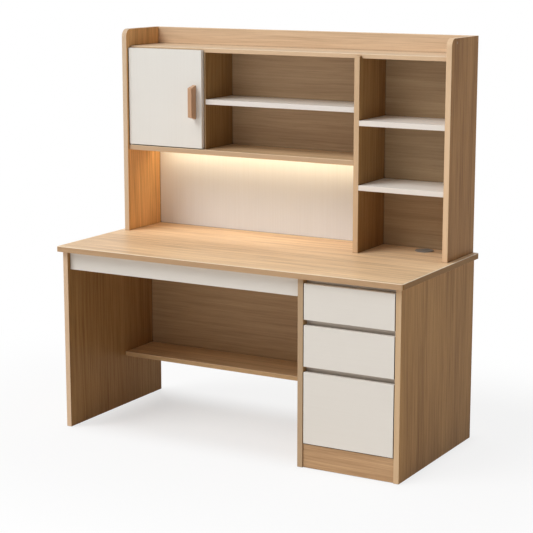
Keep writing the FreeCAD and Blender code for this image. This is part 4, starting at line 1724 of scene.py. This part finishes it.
@dataclass
class Studio:
    """Pale floor, white surroundings, soft key light and the camera.

    Attributes:
        ambient: mean level of the light from all sides.
        ambient_tilt: how much brighter the left side is than the right.
        key_strength: strength of the soft key lamp.
        key_direction: where the key lamp stands, seen from the object.
        key_softness: angle that the key lamp covers, in degrees.
        floor_colour: colour of the floor.
        white_under: share of white that the floor shows under the object.
        white_beside: the same just beside the object.
        within: how far inside the object's outline the floor starts to turn lighter.
        beside: distance from the object at which that share is reached.
        clear_from: distance from the object at which the floor starts to turn quite white.
        clear_to: distance at which it is white.
        floor_radius: radius of the floor.
        floor_segments: its facets.
        camera_place: where the camera stands.
        camera_azimuth: how far it is turned to the left of +Y, in degrees.
        camera_pitch: how far it looks down, in degrees.
        camera_lens: focal length in millimetres.
        camera_reach: how far it sees.
    """

    ambient: float = 0.46
    ambient_tilt: float = 0.7
    key_strength: float = 1.73
    key_direction: tuple[float, float, float] = (-0.42, -0.55, 0.72)
    key_softness: float = 38.0
    floor_colour: Colour = (0.90, 0.90, 0.90)
    white_under: float = 0.52
    white_beside: float = 0.84
    within: float = 0.20
    beside: float = 0.06
    clear_from: float = 0.3
    clear_to: float = 1.3
    floor_radius: float = 60.0
    floor_segments: int = 64
    camera_place: tuple[float, float, float] = (3.0755, -5.3847, 1.8967)
    camera_azimuth: float = 29.69
    camera_pitch: float = 11.17
    camera_lens: float = 109.51
    camera_reach: float = 200.0

    def _seen_directly(self, graph: Graph) -> Signal:
        """Tell what is seen from what lights the scene.

        Args:
            graph: the graph that asks.

        Returns:
            1 for what the camera, a gloss or a clear part shows, 0 for light.
        """
        path = graph.node("ShaderNodeLightPath")
        camera = Signal(graph, path.outputs["Is Camera Ray"])
        glossy = Signal(graph, path.outputs["Is Glossy Ray"])
        clear = Signal(graph, path.outputs["Is Transmission Ray"])
        return camera.most(glossy).most(clear)

    def build_world(self) -> None:
        """Make the even light and the white surroundings."""
        world = bpy.data.worlds.new("studio")
        world.use_nodes = True
        graph = Graph(world.node_tree)
        seen = self._seen_directly(graph)
        towards = graph.node("ShaderNodeTexCoord").outputs["Generated"]
        right = Signal(graph, graph.node("ShaderNodeSeparateXYZ", sockets={0: towards}).outputs[0])
        level = seen + (1 - seen) * (1 - right * self.ambient_tilt) * self.ambient
        sky = graph.node("ShaderNodeBackground", sockets={"Color": PURE_WHITE, "Strength": level})
        graph.node("ShaderNodeOutputWorld", sockets={"Surface": sky.outputs[0]})
        bpy.context.scene.world = world

    def build_floor(self) -> None:
        """Make the floor, which turns white away from the object."""
        mesh = bmesh.new()
        bmesh.ops.create_circle(
            mesh, cap_ends=True, radius=self.floor_radius, segments=self.floor_segments)
        data = bpy.data.meshes.new("studio_floor")
        mesh.to_mesh(data)
        mesh.free()
        floor = bpy.data.objects.new("studio_floor", data)
        bpy.context.scene.collection.objects.link(floor)
        material, graph = new_material("studio_floor")
        x, y, _ = graph.place()
        low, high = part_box("desktop")
        past_x = abs(x - (low.x + high.x) / 2) - (high.x - low.x) / 2
        past_y = abs(y - (low.y + high.y) / 2) - (high.y - low.y) / 2
        out_x, out_y = past_x.most(0.0), past_y.most(0.0)
        distance = (out_x * out_x + out_y * out_y) ** 0.5
        near = past_x.most(past_y).step(-self.within, self.beside)
        away = distance.step(self.clear_from, self.clear_to)
        share = (self.white_under + near * (self.white_beside - self.white_under)
                 + away * (1 - self.white_beside))
        matt = graph.node("ShaderNodeBsdfDiffuse", sockets={"Color": self.floor_colour})
        white = graph.node("ShaderNodeEmission", sockets={"Color": PURE_WHITE, "Strength": 1.0})
        seen = self._seen_directly(graph)
        mixed = graph.node(
            "ShaderNodeMixShader",
            sockets={0: share * seen, 1: matt.outputs[0], 2: white.outputs[0]})
        graph.node("ShaderNodeOutputMaterial", sockets={"Surface": mixed.outputs[0]})
        data.materials.append(material)

    def build_key(self) -> None:
        """Add the soft key lamp."""
        lamp = bpy.data.lights.new("key", "SUN")
        lamp.energy = self.key_strength
        lamp.angle = math.radians(self.key_softness)
        holder = bpy.data.objects.new("key", lamp)
        holder.rotation_mode = "QUATERNION"
        holder.rotation_quaternion = (-Vector(self.key_direction)).to_track_quat("-Z", "Y")
        bpy.context.scene.collection.objects.link(holder)

    def build_camera(self) -> None:
        """Add the camera."""
        data = bpy.data.cameras.new("camera")
        data.lens = self.camera_lens
        data.clip_end = self.camera_reach
        camera = bpy.data.objects.new("camera", data)
        camera.location = self.camera_place
        camera.rotation_euler = (
            math.radians(90.0 - self.camera_pitch), 0.0, math.radians(self.camera_azimuth))
        bpy.context.scene.collection.objects.link(camera)
        bpy.context.scene.camera = camera

    def build(self) -> None:
        """Build the whole studio."""
        bpy.context.scene.view_settings.view_transform = "Standard"
        self.build_world()
        self.build_floor()
        self.build_key()
        self.build_camera()


def report(part: str, pieces: Pieces) -> None:
    """Log a sub-assembly that is done and the pieces that were added to it.

    Args:
        part: the sub-assembly's name.
        pieces: its new pieces.
    """
    log.info("%s dressed", part)
    for piece in pieces:
        log.info("%s: %s, %d faces", part, piece.name, len(piece.data.polygons))


def main() -> None:
    """Dress the model, add the small fittings and set up the studio."""
    logging.basicConfig(level=logging.INFO, format="%(name)s: %(message)s")
    zinc = ZINC.material("zinc")
    taupe = TAUPE.material("taupe_anodised")
    silver = SILVER.material("silver_anodised")
    grey = GREY_PLASTIC.material("grey_plastic")
    rubber = CLEAR_RUBBER.material("clear_rubber")

    desk = Desk()
    desk.dress()
    dress("slide_outer_members", zinc)
    report("desk", desk.build(zinc))

    for place, seed in DRAWER_SEEDS:
        drawer = Drawer(place, seed)
        drawer.dress(taupe, zinc)
        report(drawer.body, drawer.build(zinc, rubber))

    hutch = Hutch()
    hutch.dress()
    report("hutch", hutch.build(zinc, BROWN_CAP.material("cap_plastic")))

    door = Door()
    door.dress(zinc, grey)
    report("door", door.build(zinc, rubber))

    Grommet().dress(grey)
    report("grommet", [])

    bar = LightBar()
    bar.dress(silver)
    report("light bar", bar.build())
    bar.light()

    Studio().build()


if __name__ == "__main__":
    main()
